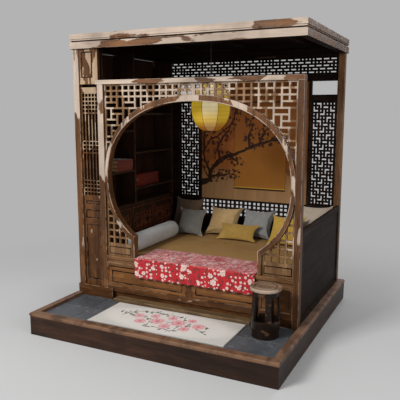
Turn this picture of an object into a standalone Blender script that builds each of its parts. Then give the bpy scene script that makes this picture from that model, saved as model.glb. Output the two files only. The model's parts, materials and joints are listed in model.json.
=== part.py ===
"""Alcove bed: a roofed sleeping alcove with a moon gate, standing on a tiled platform.

Units are metres and +Z is up. The front faces -Y. The origin is the middle of the platform's
footprint on the ground. Heights named *_AT are measured up from the tiled floor.
"""

from math import acos, cos, pi, radians, sin

import bmesh
import bpy
from mathutils import Matrix, Vector

# Clearances
GAP = 0.0003
RUN = 0.002
PIN_RUN = 0.0001

# Platform
PLATFORM_W = 2.200
PLATFORM_D = 2.110
KERB_H = 0.192
KERB_W = 0.066
KERB_BEAD = 0.030
KERB_PROUD = 0.005
KERB_ROUND = 0.012
FLOOR_DROP = 0.025
SLATE_T = 0.022
DECK_T = 0.030
JOIST_W = 0.060
JOINT_W = 0.006
JOINT_DEPTH = 0.003
TILE = 0.300

# House outline and posts
APRON_D = 0.664
HOUSE_SET_LEFT = 0.022
HOUSE_SET_RIGHT = 0.001
HOUSE_SET_BACK = 0.011
POST_W = 0.060
POST_D = 0.054

# Bed front, stacked upwards from the floor
TOE_H = 0.075
BASE_RAIL_H = 0.051
DRAWER_BAY_H = 0.186
APRON_RAIL_H = 0.028
WAIST_H = 0.036
SILL_H = 0.030
BASE_FRAME_D = 0.036
BASE_STEP = 0.012
END_STILE_W = 0.020
BAY_STILE_W = 0.064
SIDE_STILE_W = 0.030
DRAWER_LEFT_W = 0.785
DRAWER_RIGHT_W = 0.588
SILL_NOSE = 0.006
STEP_L = 1.310
STEP_SIDE = 0.045
STEP_D = 0.090
STEP_H = 0.033

# Drawers and the carcass that carries them
DRAWER_D = 0.560
DRAWER_WALL = 0.012
DRAWER_FRONT_T = 0.020
DRAWER_BOX_H = 0.150
DRAWER_SET = 0.002
DRAWER_BORDER = 0.028
DRAWER_FIELD = 0.004
FINGER_GAP = 0.012
RUNNER_T = 0.020
LEDGE_W = 0.016
LEDGE_H = 0.028

# Bed
BED_BOARD_T = 0.020
MAT_T = 0.020
SIDE_T = 0.035
SIDE_H = 0.785
SIDE_RAIL = 0.050
PANEL_RECESS = 0.008

# Moon gate
GATE_D = 0.070
GATE_H = 1.527
GATE_STILE_L = 0.060
GATE_STILE_R = 0.050
HEADER_H = 0.037
HEADER_EAR = 0.021
CROWN_H = 0.101
RING_CROWN_W = 0.050
RING_SIDE_W = 0.033
RING_INNER_H = 0.662
RING_FOOT_X = 0.577
RING_FOOT_W = 0.033
RING_SET = 0.002
RING_POWER = 2.25
RING_STEPS = 48
LATTICE_T = 0.020
LATTICE_SET = 0.024
GATE_BAR = 0.015
GATE_PITCH = 0.064
CORNER_PANEL_H = 0.099
CORNER_RAIL_H = 0.022
PINCH = 0.22

# Side screen left of the gate, stacked upwards from the floor
SCREEN_W = 0.193
SCREEN_SET = 0.022
SCREEN_T = 0.030
SCREEN_STACK = (0.152, 0.524, 0.053, 0.081, 0.046, 0.039, 0.037)
SCREEN_LATTICE_H = 0.934
SCREEN_TOP_RAIL = 0.044
SCREEN_BAR = 0.015
SCREEN_ROWS = (1, 1, 1, 1, 12, 1, 1, 1, 12, 1, 1, 1, 1, 1)
SCREEN_COLUMNS = 5
PLINTH_L = 0.378
PLINTH_T = 0.020
PLINTH_H = 0.105

# Frieze and roof, stacked upwards from the gate header
FRIEZE_H = 0.271
FRIEZE_PANEL_W = 0.199
FRIEZE_PANEL_T = 0.040
FRIEZE_RAIL = 0.033
FRIEZE_BORDER = 0.022
FASCIA_H = 0.059
FASCIA_W = 0.070
NECK_H = 0.011
NECK_IN = 0.012
SLAB_STEP_H = 0.012
SLAB_STEP_IN = 0.006
SLAB_RIM_H = 0.024
SLAB_BOARD_T = 0.022
SLAB_RIM_W = 0.046
ROOF_JOIST_W = 0.050
ROOF_JOIST_PITCH = 0.600
OVERHANG = 0.016

# Back wall, stacked upwards from the floor
BACK_T = 0.040
BACK_SET = 0.009
BACK_LOW_H = 0.589
BACK_BAND_H = 0.156
BACK_RAIL_H = 0.020
BACK_SCREEN_H = 1.035
BACK_MID_RAIL_H = 0.060
BACK_OPEN_H = 0.130
BACK_TOP_RAIL_H = 0.060
BACK_FRIEZE_H = 0.175
BACK_CROWN_H = 0.015
BACK_PANEL_W = 1.168
BACK_STILE_W = 0.025
BACK_SCREEN_W = 0.248
BACK_EDGE_W = 0.0067
BACK_END_W = 0.030
BACK_BAR = 0.016
BACK_ROWS = (1, 1, 1, 4, 1, 1, 4, 1, 1, 1)
BACK_COLUMNS = 4
BACK_LATTICE_T = 0.018
BACK_LATTICE_SET = 0.008
BACK_PANEL_T = 0.012
BACK_PANEL_SET = 0.010
BAND_COLUMNS = 12
BAND_ROWS = 2
BACK_FRIEZE_PITCH = 0.085
BACK_FRIEZE_ROWS = 3

# Curio shelf on the left wall
SHELF_SET = 0.010
SHELF_D = 0.250
SHELF_FRONT_GAP = 0.001
SHELF_BACK_GAP = 0.013
SHELF_H = 2.235
SHELF_UPRIGHT = 0.022
SHELF_BOARD = 0.018
SHELF_BACK = 0.012
SHELF_BAY = 0.525
SHELF_LOW_AT = 0.800
SHELF_FRONT_AT = (1.130, 1.520, 1.900)
SHELF_REAR_AT = (0.945, 1.300, 1.680)
BOOK_SIZE = (0.190, 0.270)
BOOK_T = 0.036
BOOK_COUNT = 3
BOOK_COVER = 0.003
BOOK_MARGIN = 0.012
BOX_SIZE = (0.170, 0.460, 0.120)
BOX_LID_AT = 0.080
BOX_GROOVE = 0.003
BOX_MARGIN = 0.040

# Wall scroll
SCROLL_W = 0.563
SCROLL_H = 0.906
SCROLL_T = 0.003
SCROLL_ROD_R = 0.008
SCROLL_AT = 0.894
SCROLL_X = 0.0785

# Hanging lantern
LANTERN_Y = 0.361
LANTERN_R = 0.179
LANTERN_H = 0.400
LANTERN_END_R = 0.057
LANTERN_MOUTH_R = 0.040
LANTERN_NECK_R = 0.022
LANTERN_WALL = 0.003
LANTERN_AT = 1.533
LANTERN_FULLNESS = 0.80
LANTERN_STEPS = 8
GORES = 8
ROD_R = 0.004
CAP_R = 0.048
CAP_T = 0.006
COLLAR_R = 0.034
HOOK_L = 0.060
HOOK_W = 0.040
HOOK_T = 0.006
EAR_T = 0.004
EAR_W = 0.016
EAR_DROP = 0.034
PIN_R = 0.003
PIN_DROP = 0.024
EYE_R = 0.008
EYE_T = 0.010
EYE_SIDE = 0.0005
PIN_SIDES = 24
ROD_SIDES = 12

# Loose pieces
STOOL_SIDE = 0.080
STOOL_BEFORE = 0.002
STOOL_R = 0.112
STOOL_H = 0.395
STOOL_TOP_R = 0.122
STOOL_TOP_T = 0.028
STOOL_INSET_R = 0.088
STOOL_INSET = 0.004
STOOL_WALL = 0.014
STOOL_BULGE = 0.010
STOOL_BASE_H = 0.024
STOOL_HOOP_AT = 0.110
STOOL_HOOP_H = 0.028
STOOL_HEAD_H = 0.036
STOOL_HOOP_OUT = 0.004
STOOL_WINDOWS = 5
STOOL_STEPS = 6
STOOL_PILLAR_STEPS = 2
STOOL_SIDES = 30
RUG_L = 1.223
RUG_D = 0.475
RUG_T = 0.008
RUG_SIDE = 0.077
RUG_Y = 0.121
BOLSTER_R = 0.088
BOLSTER_END_R = 0.030
BOLSTER_DIMPLE = 0.014
BOLSTER_SQUARENESS = 9
BOLSTER_STEPS = 14
BOLSTER_SIDES = 18
BOLSTER_L = 0.860
BOLSTER_X = 0.216
BOLSTER_Y = 0.060

# Coverlet, measured from the middle of the gate
COVERLET_L = 0.564
COVERLET_R = 0.566
COVERLET_SPLIT = -0.040
COVERLET_T = 0.010
COVERLET_BACK = 0.340
COVERLET_DROP = 0.166
COVERLET_WAVE = 0.007
COVERLET_FOLD = 0.086
COVERLET_FOLD_STEPS = 4.5
COVERLET_STAND_OFF = 0.003

# Cushions: width, height, thickness, lean in degrees and the gap behind, to the wall
CUSHIONS = {
    "cushion_brown": (0.360, 0.390, 0.130, 24, 0.000),
    "cushion_dark_grey": (0.320, 0.315, 0.110, 30, 0.175),
    "cushion_tan": (0.370, 0.345, 0.120, 36, 0.000),
    "cushion_grey_blue": (0.360, 0.345, 0.120, 36, 0.000),
    "cushion_mustard": (0.350, 0.345, 0.115, 38, 0.165),
    "cushion_lumbar": (0.420, 0.215, 0.095, 42, 0.225),
    "cushion_beige": (0.375, 0.400, 0.120, 20, 0.000),
}

# Two rows of cushions from left to right, each with its share of the row's spare room on its left
CUSHION_ROWS = (
    (("cushion_brown", 12), ("cushion_tan", 22), ("cushion_grey_blue", 3), ("cushion_beige", 60)),
    (("cushion_dark_grey", 26), ("cushion_lumbar", 25), ("cushion_mustard", 16)),
)
CUSHION_ROW_SHARES = (101, 100)
CUSHION_DRAW = 0.07
CUSHION_STEPS = 8

# Places worked out from the sizes above
FRONT = -PLATFORM_D / 2
BACK = PLATFORM_D / 2
LEFT = -PLATFORM_W / 2
RIGHT = PLATFORM_W / 2
FLOOR = KERB_H - FLOOR_DROP
HOUSE_F = FRONT + APRON_D
HOUSE_B = BACK - HOUSE_SET_BACK
HOUSE_L = LEFT + HOUSE_SET_LEFT
HOUSE_R = RIGHT - KERB_W - HOUSE_SET_RIGHT
SCREEN_X0 = HOUSE_L + POST_W
SCREEN_X1 = SCREEN_X0 + SCREEN_W
GATE_X0 = SCREEN_X1 + GATE_STILE_L
GATE_X1 = HOUSE_R - GATE_STILE_R
GATE_X = (GATE_X0 + GATE_X1) / 2
GATE_B = HOUSE_F + GATE_D
DRAWER_BAY_Z = FLOOR + TOE_H + BASE_RAIL_H
WAIST_TOP = DRAWER_BAY_Z + DRAWER_BAY_H + APRON_RAIL_H + WAIST_H
SILL_TOP = WAIST_TOP + SILL_H
HEADER_Z = SILL_TOP + GATE_H
HEADER_TOP = HEADER_Z + HEADER_H
BACK_STACK = (BACK_LOW_H, BACK_BAND_H, BACK_RAIL_H, BACK_SCREEN_H, BACK_MID_RAIL_H,
              BACK_OPEN_H, BACK_TOP_RAIL_H, BACK_FRIEZE_H, BACK_CROWN_H)
EAVES = max(HEADER_TOP + FRIEZE_H, FLOOR + sum(BACK_STACK) + 2 * GAP, FLOOR + SHELF_H + RUN)
RING_Z = HEADER_Z - CROWN_H - RING_CROWN_W - RING_INNER_H
RING_B = RING_INNER_H + RING_CROWN_W
RING_A = (GATE_X1 - GATE_X0) / 2 - GAP
RING_FOOT_OUT = RING_FOOT_X + RING_FOOT_W
BACK_F = HOUSE_B - BACK_SET - BACK_T
BED_Y0 = GATE_B + RUN
BED_Y1 = HOUSE_B - max(BACK_SET + BACK_T, POST_D) - RUN
SHELF_X0 = HOUSE_L + SHELF_SET
SHELF_X1 = SHELF_X0 + SHELF_D
SHELF_Y0 = GATE_B + SHELF_FRONT_GAP
SHELF_Y1 = BED_Y1 - SHELF_BACK_GAP
BED_X0 = SHELF_X1 + RUN
BED_X1 = HOUSE_R - SIDE_T - RUN
MAT_TOP = SILL_TOP
BED_BOARD_Z = MAT_TOP - MAT_T - BED_BOARD_T
BAY_L0 = GATE_X0 + END_STILE_W
BAY_L1 = BAY_L0 + DRAWER_LEFT_W
BAY_R0 = BAY_L1 + BAY_STILE_W
BAY_R1 = BAY_R0 + DRAWER_RIGHT_W
STEP_X0 = HOUSE_L + PLINTH_L + STEP_SIDE
STEP_Y1 = HOUSE_F + 2 * BASE_STEP - RUN
STEP_Y0 = STEP_Y1 - STEP_D
STOOL_X = RIGHT - KERB_W - STOOL_SIDE - STOOL_TOP_R
STOOL_Y = STEP_Y0 - STOOL_BEFORE - STOOL_TOP_R
RUG_X1 = STOOL_X - STOOL_TOP_R - RUG_SIDE
ROOF_X0 = HOUSE_L - OVERHANG
ROOF_X1 = HOUSE_R + OVERHANG
ROOF_Y0 = HOUSE_F - OVERHANG
ROOF_Y1 = HOUSE_B + HOUSE_SET_BACK
FASCIA_TOP = EAVES + FASCIA_H
SLAB_Z = FASCIA_TOP + NECK_H
HINGE_Z = SLAB_Z - GAP - HOOK_T - PIN_DROP
LANTERN_X = GATE_X
LANTERN_Y0 = HOUSE_F + LANTERN_Y

# Colours, roughness and metallic value of each finish
PALE_WOOD = ((0.62, 0.47, 0.36, 1.0), 0.45, 0.0)
BROWN_WOOD = ((0.33, 0.18, 0.09, 1.0), 0.45, 0.0)
DARK_WOOD = ((0.09, 0.045, 0.025, 1.0), 0.5, 0.0)
KERB_WOOD = ((0.12, 0.05, 0.03, 1.0), 0.5, 0.0)
SLATE = ((0.25, 0.28, 0.32, 1.0), 0.6, 0.0)
STRAW = ((0.55, 0.44, 0.26, 1.0), 0.8, 0.0)
PAINTED = ((0.55, 0.28, 0.11, 1.0), 0.6, 0.0)
PAPER = ((0.62, 0.45, 0.22, 1.0), 0.8, 0.0)
LACQUER = ((0.28, 0.05, 0.03, 1.0), 0.3, 0.0)
SILK = ((0.95, 0.72, 0.22, 1.0), 0.7, 0.0)
IRON = ((0.05, 0.05, 0.05, 1.0), 0.5, 0.9)
WOOL = ((0.80, 0.76, 0.68, 1.0), 0.9, 0.0)
RED_CLOTH = ((0.50, 0.03, 0.03, 1.0), 0.85, 0.0)
CLOTHS = {
    "bolster": (0.45, 0.50, 0.56, 1.0),
    "cushion_brown": (0.22, 0.13, 0.08, 1.0),
    "cushion_dark_grey": (0.10, 0.10, 0.11, 1.0),
    "cushion_tan": (0.55, 0.38, 0.18, 1.0),
    "cushion_grey_blue": (0.32, 0.37, 0.42, 1.0),
    "cushion_mustard": (0.62, 0.40, 0.10, 1.0),
    "cushion_lumbar": (0.66, 0.42, 0.10, 1.0),
    "cushion_beige": (0.66, 0.58, 0.47, 1.0),
}

# The six sides of a cell: the step to the neighbour and the corners of the face
SIDES = {
    (-1, 0, 0): ((0, 0, 0), (0, 0, 1), (0, 1, 1), (0, 1, 0)),
    (1, 0, 0): ((1, 0, 0), (1, 1, 0), (1, 1, 1), (1, 0, 1)),
    (0, -1, 0): ((0, 0, 0), (1, 0, 0), (1, 0, 1), (0, 0, 1)),
    (0, 1, 0): ((0, 1, 0), (0, 1, 1), (1, 1, 1), (1, 1, 0)),
    (0, 0, -1): ((0, 0, 0), (0, 1, 0), (1, 1, 0), (1, 0, 0)),
    (0, 0, 1): ((0, 0, 1), (1, 0, 1), (1, 1, 1), (0, 1, 1)),
}


def clear_scene():
    """Remove every object of the open file."""
    for obj in list(bpy.data.objects):
        bpy.data.objects.remove(obj, do_unlink=True)


def make(name, bm, finish, origin=(0.0, 0.0, 0.0), smooth=None):
    """Turn a mesh into a named object with its own material and its origin at a chosen place."""
    bmesh.ops.recalc_face_normals(bm, faces=bm.faces)
    bmesh.ops.translate(bm, verts=bm.verts, vec=-Vector(origin))
    mesh = bpy.data.meshes.new(name)
    bm.to_mesh(mesh)
    bm.free()
    if smooth is not None:
        mesh.shade_smooth()
        mesh.set_sharp_from_angle(angle=radians(smooth))
    colour, roughness, metallic = finish
    material = bpy.data.materials.new(name)
    material.use_nodes = True
    shader = material.node_tree.nodes["Principled BSDF"]
    shader.inputs["Base Color"].default_value = colour
    shader.inputs["Roughness"].default_value = roughness
    shader.inputs["Metallic"].default_value = metallic
    mesh.materials.append(material)
    obj = bpy.data.objects.new(name, mesh)
    obj.location = origin
    bpy.context.scene.collection.objects.link(obj)
    return obj


def box(low, high):
    """A plain block between two corners."""
    return cells((low[0], high[0]), (low[1], high[1]), (low[2], high[2]), lambda i, j, k: True)


def cells(xs, ys, zs, solid, place=None, wrap=False):
    """The closed skin of the solid cells of a block cut by planes.

    place maps a grid point to its place, and wrap joins the last cell along x to the first.
    """
    bm = bmesh.new()
    count = (len(xs) if wrap else len(xs) - 1, len(ys) - 1, len(zs) - 1)
    filled = {
        (i, j, k)
        for i in range(count[0])
        for j in range(count[1])
        for k in range(count[2])
        if solid(i, j, k)
    }
    corners = {}

    def corner(i, j, k):
        key = (i % len(xs), j, k)
        if key not in corners:
            point = (xs[key[0]], ys[j], zs[k])
            corners[key] = bm.verts.new(place(*point) if place else point)
        return corners[key]

    for i, j, k in sorted(filled):
        for step, face in SIDES.items():
            near = (i + step[0], j + step[1], k + step[2])
            if wrap:
                near = (near[0] % count[0], near[1], near[2])
            if near not in filled:
                bm.faces.new([corner(i + a, j + b, k + c) for a, b, c in face])
    return bm


def bars(low, high, openings, bar):
    """Cell edges of openings in given proportions between equal bars."""
    unit = (high - low - bar * (len(openings) + 1)) / sum(openings)
    edges = [low]
    for opening in openings:
        edges.append(edges[-1] + bar)
        edges.append(edges[-1] + unit * opening)
    edges.append(high)
    return edges


def plain_bars(i, k):
    """Bars of a plain grid: even cells are bars and odd cells are openings."""
    return i % 2 == 0 or k % 2 == 0


def brick_bars(i, k):
    """A plain grid whose openings are joined in pairs, shifted from row to row."""
    row = k // 2
    joined = i % 2 == 0 and k % 2 == 1 and (i // 2 + 2 * row) % 3 == 2
    return plain_bars(i, k) and not joined


def pinwheel_bars(i, k):
    """A grid whose openings are joined in pairs around a single one, three by three."""
    column, row = i // 2, k // 2
    upright = i % 2 == 0 and k % 2 == 1
    level = i % 2 == 1 and k % 2 == 0
    joined_across = upright and ((row % 3, column % 3) in ((0, 1), (2, 2)))
    joined_up = level and ((column % 3, row % 3) in ((2, 1), (0, 2)))
    return plain_bars(i, k) and not (joined_across or joined_up)


def grid_counts(length, pitch):
    """Equal openings for a length at about a pitch."""
    return (1,) * max(1, round(length / pitch))


def prism(outline, axis, low, high):
    """An outline drawn in the two other axes, drawn out along an axis."""
    bm = bmesh.new()
    across = [n for n in range(3) if n != axis]
    ends = []
    for level in (low, high):
        ring = []
        for u, v in outline:
            point = [0.0, 0.0, 0.0]
            point[across[0]], point[across[1]], point[axis] = u, v, level
            ring.append(bm.verts.new(point))
        ends.append(ring)
    bm.faces.new(ends[0])
    bm.faces.new(ends[1])
    for n in range(len(outline)):
        m = (n + 1) % len(outline)
        bm.faces.new((ends[0][n], ends[0][m], ends[1][m], ends[1][n]))
    return bm


def lathe(profile, sides, closed=False, factor=None):
    """A turned body about the z axis from (radius, height) points.

    An open profile starts and ends on the axis, and a closed one goes round a hollow.
    factor gives a radius factor for each angle.
    """
    bm = bmesh.new()
    rings = []
    for radius, height in profile:
        if radius == 0.0:
            rings.append([bm.verts.new((0.0, 0.0, height))])
            continue
        ring = []
        for n in range(sides):
            angle = 2 * pi * n / sides
            r = radius * (factor(angle) if factor else 1.0)
            ring.append(bm.verts.new((r * cos(angle), r * sin(angle), height)))
        rings.append(ring)
    pairs = list(zip(rings, rings[1:]))
    if closed:
        pairs.append((rings[-1], rings[0]))
    for lower, upper in pairs:
        for n in range(sides):
            m = (n + 1) % sides
            corners = [(lower, n), (lower, m), (upper, m), (upper, n)]
            bm.faces.new(list(dict.fromkeys(ring[at % len(ring)] for ring, at in corners)))
    return bm


def moved(bm, matrix):
    """The same mesh after a move or a turn."""
    bmesh.ops.transform(bm, matrix=matrix, verts=bm.verts)
    return bm


def combined(bm, other, operation):
    """The exact Boolean of two closed meshes, without any loose crumbs it leaves."""
    meshes = []
    for source in (bm, other):
        bmesh.ops.recalc_face_normals(source, faces=source.faces)
        mesh = bpy.data.meshes.new("blank")
        source.to_mesh(mesh)
        source.free()
        meshes.append(mesh)
    blank = bpy.data.objects.new("blank", meshes[0])
    tool = bpy.data.objects.new("tool", meshes[1])
    for obj in (blank, tool):
        bpy.context.scene.collection.objects.link(obj)
    boolean = blank.modifiers.new("boolean", "BOOLEAN")
    boolean.operation = operation
    boolean.solver = "EXACT"
    boolean.object = tool
    evaluated = blank.evaluated_get(bpy.context.evaluated_depsgraph_get())
    result = bmesh.new()
    result.from_mesh(evaluated.to_mesh())
    for obj in (blank, tool):
        bpy.data.objects.remove(obj, do_unlink=True)
    drop_crumbs(result)
    return result


def drop_crumbs(bm):
    """Delete every loose island of a mesh but the largest."""
    islands = []
    left = set(bm.verts)
    while left:
        stack = [left.pop()]
        island = set(stack)
        while stack:
            for edge in stack.pop().link_edges:
                for vert in edge.verts:
                    if vert in left:
                        left.remove(vert)
                        island.add(vert)
                        stack.append(vert)
        islands.append(island)
    islands.sort(key=len)
    for island in islands[:-1]:
        bmesh.ops.delete(bm, geom=list(island), context="VERTS")


def framed(low, high, border, recess, axis=1):
    """A board with a sunk field on both faces; axis is the board's thin direction."""
    edges = []
    for n in range(3):
        inset = recess if n == axis else border
        edges.append((low[n], low[n] + inset, high[n] - inset, high[n]))

    def solid(*cell):
        inside = all(cell[n] == 1 for n in range(3) if n != axis)
        return not inside or cell[axis] == 1

    return cells(*edges, solid)


def kerb_profile():
    """Kerb section as (distance in from the outer face, height), with a worn bead on top."""
    face = [(KERB_PROUD, 0.0), (KERB_PROUD, KERB_H - KERB_BEAD), (0.0, KERB_H - KERB_BEAD + KERB_PROUD)]
    bead = [
        (KERB_ROUND * (1 - cos(t)), KERB_H - KERB_ROUND * (1 - sin(t)))
        for t in (0.0, pi / 6, pi / 3, pi / 2)
    ]
    return face + bead + [(KERB_W, KERB_H), (KERB_W, 0.0)]


def kerb(length_from, length_to):
    """A kerb along x whose ends are mitred where a length function says so."""
    bm = bmesh.new()
    profile = kerb_profile()
    ends = [[bm.verts.new((end(u), u, z)) for u, z in profile] for end in (length_from, length_to)]
    bm.faces.new(ends[0])
    bm.faces.new(ends[1])
    for n in range(len(profile)):
        m = (n + 1) % len(profile)
        bm.faces.new((ends[0][n], ends[0][m], ends[1][m], ends[1][n]))
    return bm


def build_platform():
    """Kerbs, joisted deck and slate floor."""
    front = kerb(lambda u: LEFT + u + GAP, lambda u: RIGHT - u - GAP)
    make("kerb_front", moved(front, Matrix.Translation((0, FRONT, 0))), KERB_WOOD)
    turn_right = Matrix.Translation((RIGHT, FRONT, 0)) @ Matrix.Rotation(pi / 2, 4, "Z")
    right = moved(kerb(lambda u: u, lambda u: PLATFORM_D), turn_right)
    make("kerb_right", right, KERB_WOOD)
    turn_left = Matrix.Translation((LEFT, FRONT, 0)) @ Matrix.Rotation(pi / 2, 4, "Z")
    turn_left = turn_left @ Matrix.Scale(-1, 4, (0, 1, 0))
    left = moved(kerb(lambda u: u, lambda u: PLATFORM_D), turn_left)
    notch = box((LEFT - KERB_W, HOUSE_F - PLINTH_T - 2 * GAP, FLOOR),
                (LEFT + 2 * KERB_W, BACK + KERB_W, KERB_H + KERB_W))
    make("kerb_left", combined(left, notch, "DIFFERENCE"), KERB_WOOD)

    x0, x1 = LEFT + KERB_W + GAP, RIGHT - KERB_W - GAP
    y0, y1 = FRONT + KERB_W + GAP, BACK - KERB_W
    top = FLOOR - SLATE_T - GAP
    joists = bars(x0, x1, (1, 1, 1), JOIST_W)
    deck = cells(joists, (y0, y1, BACK), (0.0, top - DECK_T, top, FLOOR),
                 lambda i, j, k: j == 1 or k == 1 or (k == 0 and i % 2 == 0))
    make("platform_deck", deck, DARK_WOOD)

    tiles_x = grooves(x0, x1)
    tiles_y = grooves(y0, HOUSE_F) + [y1 - GAP]
    slate = cells(tiles_x, tiles_y, (FLOOR - SLATE_T, FLOOR - JOINT_DEPTH, FLOOR),
                  lambda i, j, k: k == 0 or (i % 2 == 0 and j % 2 == 0))
    make("slate_floor", slate, SLATE)


def grooves(low, high):
    """Edges of equal tiles with narrow joints between them, ending with a joint's far edge."""
    count = max(1, round((high - low) / TILE))
    pitch = (high - low + JOINT_W) / count
    edges = []
    for n in range(count):
        edges += [low + n * pitch, low + (n + 1) * pitch - JOINT_W]
    return edges


def build_house_frame():
    """Corner posts, ring beam under the roof and the coffered roof slab."""
    posts = {
        "post_front_left": (HOUSE_L, HOUSE_F),
        "post_back_left": (HOUSE_L, HOUSE_B - POST_D),
        "post_back_right": (HOUSE_R - POST_W, HOUSE_B - POST_D),
    }
    for name, (x, y) in posts.items():
        make(name, box((x, y, FLOOR + GAP), (x + POST_W, y + POST_D, EAVES - GAP)), PALE_WOOD)

    xs = (ROOF_X0, ROOF_X0 + FASCIA_W, ROOF_X1 - FASCIA_W, ROOF_X1)
    ys = (ROOF_Y0, ROOF_Y0 + FASCIA_W, ROOF_Y1 - FASCIA_W, ROOF_Y1)
    fascia = cells(xs, ys, (EAVES, FASCIA_TOP), lambda i, j, k: i != 1 or j != 1)
    make("roof_fascia", fascia, PALE_WOOD)

    rim = NECK_IN + SLAB_RIM_W
    xs = [ROOF_X0, ROOF_X0 + SLAB_STEP_IN, ROOF_X0 + NECK_IN, ROOF_X0 + rim]
    for n in (-1, 0, 1):
        middle = LANTERN_X + n * ROOF_JOIST_PITCH
        xs += [middle - ROOF_JOIST_W / 2, middle + ROOF_JOIST_W / 2]
    xs += [ROOF_X1 - rim, ROOF_X1 - NECK_IN, ROOF_X1 - SLAB_STEP_IN, ROOF_X1]
    ys = [ROOF_Y0, ROOF_Y0 + SLAB_STEP_IN, ROOF_Y0 + NECK_IN, ROOF_Y0 + rim]
    ys += [ROOF_Y1 - rim, ROOF_Y1 - NECK_IN, ROOF_Y1 - SLAB_STEP_IN, ROOF_Y1]
    step_top = SLAB_Z + SLAB_STEP_H
    rim_top = step_top + SLAB_RIM_H
    zs = (FASCIA_TOP + GAP, SLAB_Z, step_top, rim_top, rim_top + SLAB_BOARD_T)
    joists = (4, 6, 8)

    def solid(i, j, k):
        from_edge = min(i, len(xs) - 2 - i, j, len(ys) - 2 - j)
        if k == 0:
            return from_edge == 2
        if k == 3:
            return True
        return (2 - k <= from_edge <= 2) or (i in joists and j == 3)

    make("roof_slab", cells(xs, ys, zs, solid), PALE_WOOD)


def build_side_screen():
    """Plinth, screen of panels and lattice, and the frieze panel left of the gate."""
    x0, x1 = SCREEN_X0 + GAP, SCREEN_X1 - GAP
    y0 = HOUSE_F + SCREEN_SET
    plinth_y = HOUSE_F - GAP
    plinth = box((HOUSE_L, plinth_y - PLINTH_T, FLOOR + GAP),
                 (HOUSE_L + PLINTH_L, plinth_y, FLOOR + PLINTH_H))
    make("screen_plinth", plinth, BROWN_WOOD)

    zs = [FLOOR + GAP]
    for height in SCREEN_STACK:
        zs.append(zs[-1] + height)
    rail = zs[-1] + SCREEN_LATTICE_H
    zs += bars(zs[-1], rail, SCREEN_ROWS, SCREEN_BAR)[1:-1] + [rail + SCREEN_TOP_RAIL]
    xs = bars(x0, x1, (1,) * SCREEN_COLUMNS, SCREEN_BAR)
    ys = (y0, y0 + PANEL_RECESS, y0 + SCREEN_T - PANEL_RECESS, y0 + SCREEN_T)
    stile = len(xs) - 2

    def screened(i, j, k):
        if k >= len(SCREEN_STACK):
            return plain_bars(i, k - len(SCREEN_STACK))
        return j == 1 or i in (0, stile) or k % 2 == 0

    make("side_screen", cells(xs, ys, zs, screened), BROWN_WOOD)

    x2 = SCREEN_X0 + FRIEZE_PANEL_W
    ear = SCREEN_X1 - HEADER_EAR - GAP
    xs = (x0, x0 + FRIEZE_BORDER, ear - FRIEZE_BORDER, ear, x2)
    rail = HEADER_TOP + GAP
    zs = (HEADER_TOP - FRIEZE_RAIL, rail, rail + FRIEZE_BORDER, EAVES - GAP - FRIEZE_BORDER, EAVES - GAP)
    y0 = HOUSE_F + PANEL_RECESS
    ys = (y0, y0 + PANEL_RECESS, y0 + FRIEZE_PANEL_T - PANEL_RECESS, y0 + FRIEZE_PANEL_T)

    def panelled(i, j, k):
        if k == 0 and i == 3:
            return False
        return j == 1 or i in (0, 2, 3) or k in (0, 1, 3)

    make("frieze_panel_left", cells(xs, ys, zs, panelled), BROWN_WOOD)


def ring_curve(a, b, start_x, steps):
    """Points of the upper part of a rounded-square curve, from one foot round to the other."""
    start = -acos((start_x / a) ** (RING_POWER / 2))
    points = []
    for n in range(steps + 1):
        t = start + (pi - 2 * start) * n / steps
        x = a * signed_power(cos(t), 2 / RING_POWER)
        z = b * signed_power(sin(t), 2 / RING_POWER)
        points.append((GATE_X + x, RING_Z + z))
    return points


def signed_power(value, power):
    """A power that keeps the sign of its base."""
    return (abs(value) ** power) * (1 if value >= 0 else -1)


def ring_tool():
    """A solid that fills the gate up to the ring's outline, to trim the lattices with."""
    grown = RING_A + GAP, RING_B + GAP
    start = RING_FOOT_OUT * grown[0] / RING_A
    curve = ring_curve(*grown, start, RING_STEPS)
    low = SILL_TOP - SILL_H
    outline = [(GATE_X + RING_FOOT_OUT + GAP, low)] + curve + [(GATE_X - RING_FOOT_OUT - GAP, low)]
    return prism(outline, 1, HOUSE_F - GATE_D, GATE_B + GATE_D)


def well_inside_ring(x, z):
    """Whether a point lies inside the ring's outline by more than half a bar."""
    across = abs(x - GATE_X) / (RING_A - GATE_BAR / 2)
    up = abs(z - RING_Z) / (RING_B - GATE_BAR / 2)
    return across ** RING_POWER + up ** RING_POWER < 1


def trimmed(xs, ys, zs, solid):
    """Cells of a lattice, cut to the ring's outline."""

    def kept(i, j, k):
        hidden = all(well_inside_ring(x, z) for x in xs[i:i + 2] for z in zs[k:k + 2])
        return solid(i, j, k) and not hidden

    return combined(cells(xs, ys, zs, kept), ring_tool(), "DIFFERENCE")


def mirrored(edges, side):
    """Edges measured out from the gate's middle, placed left or right of it."""
    return sorted(GATE_X + side * edge for edge in edges)


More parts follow.
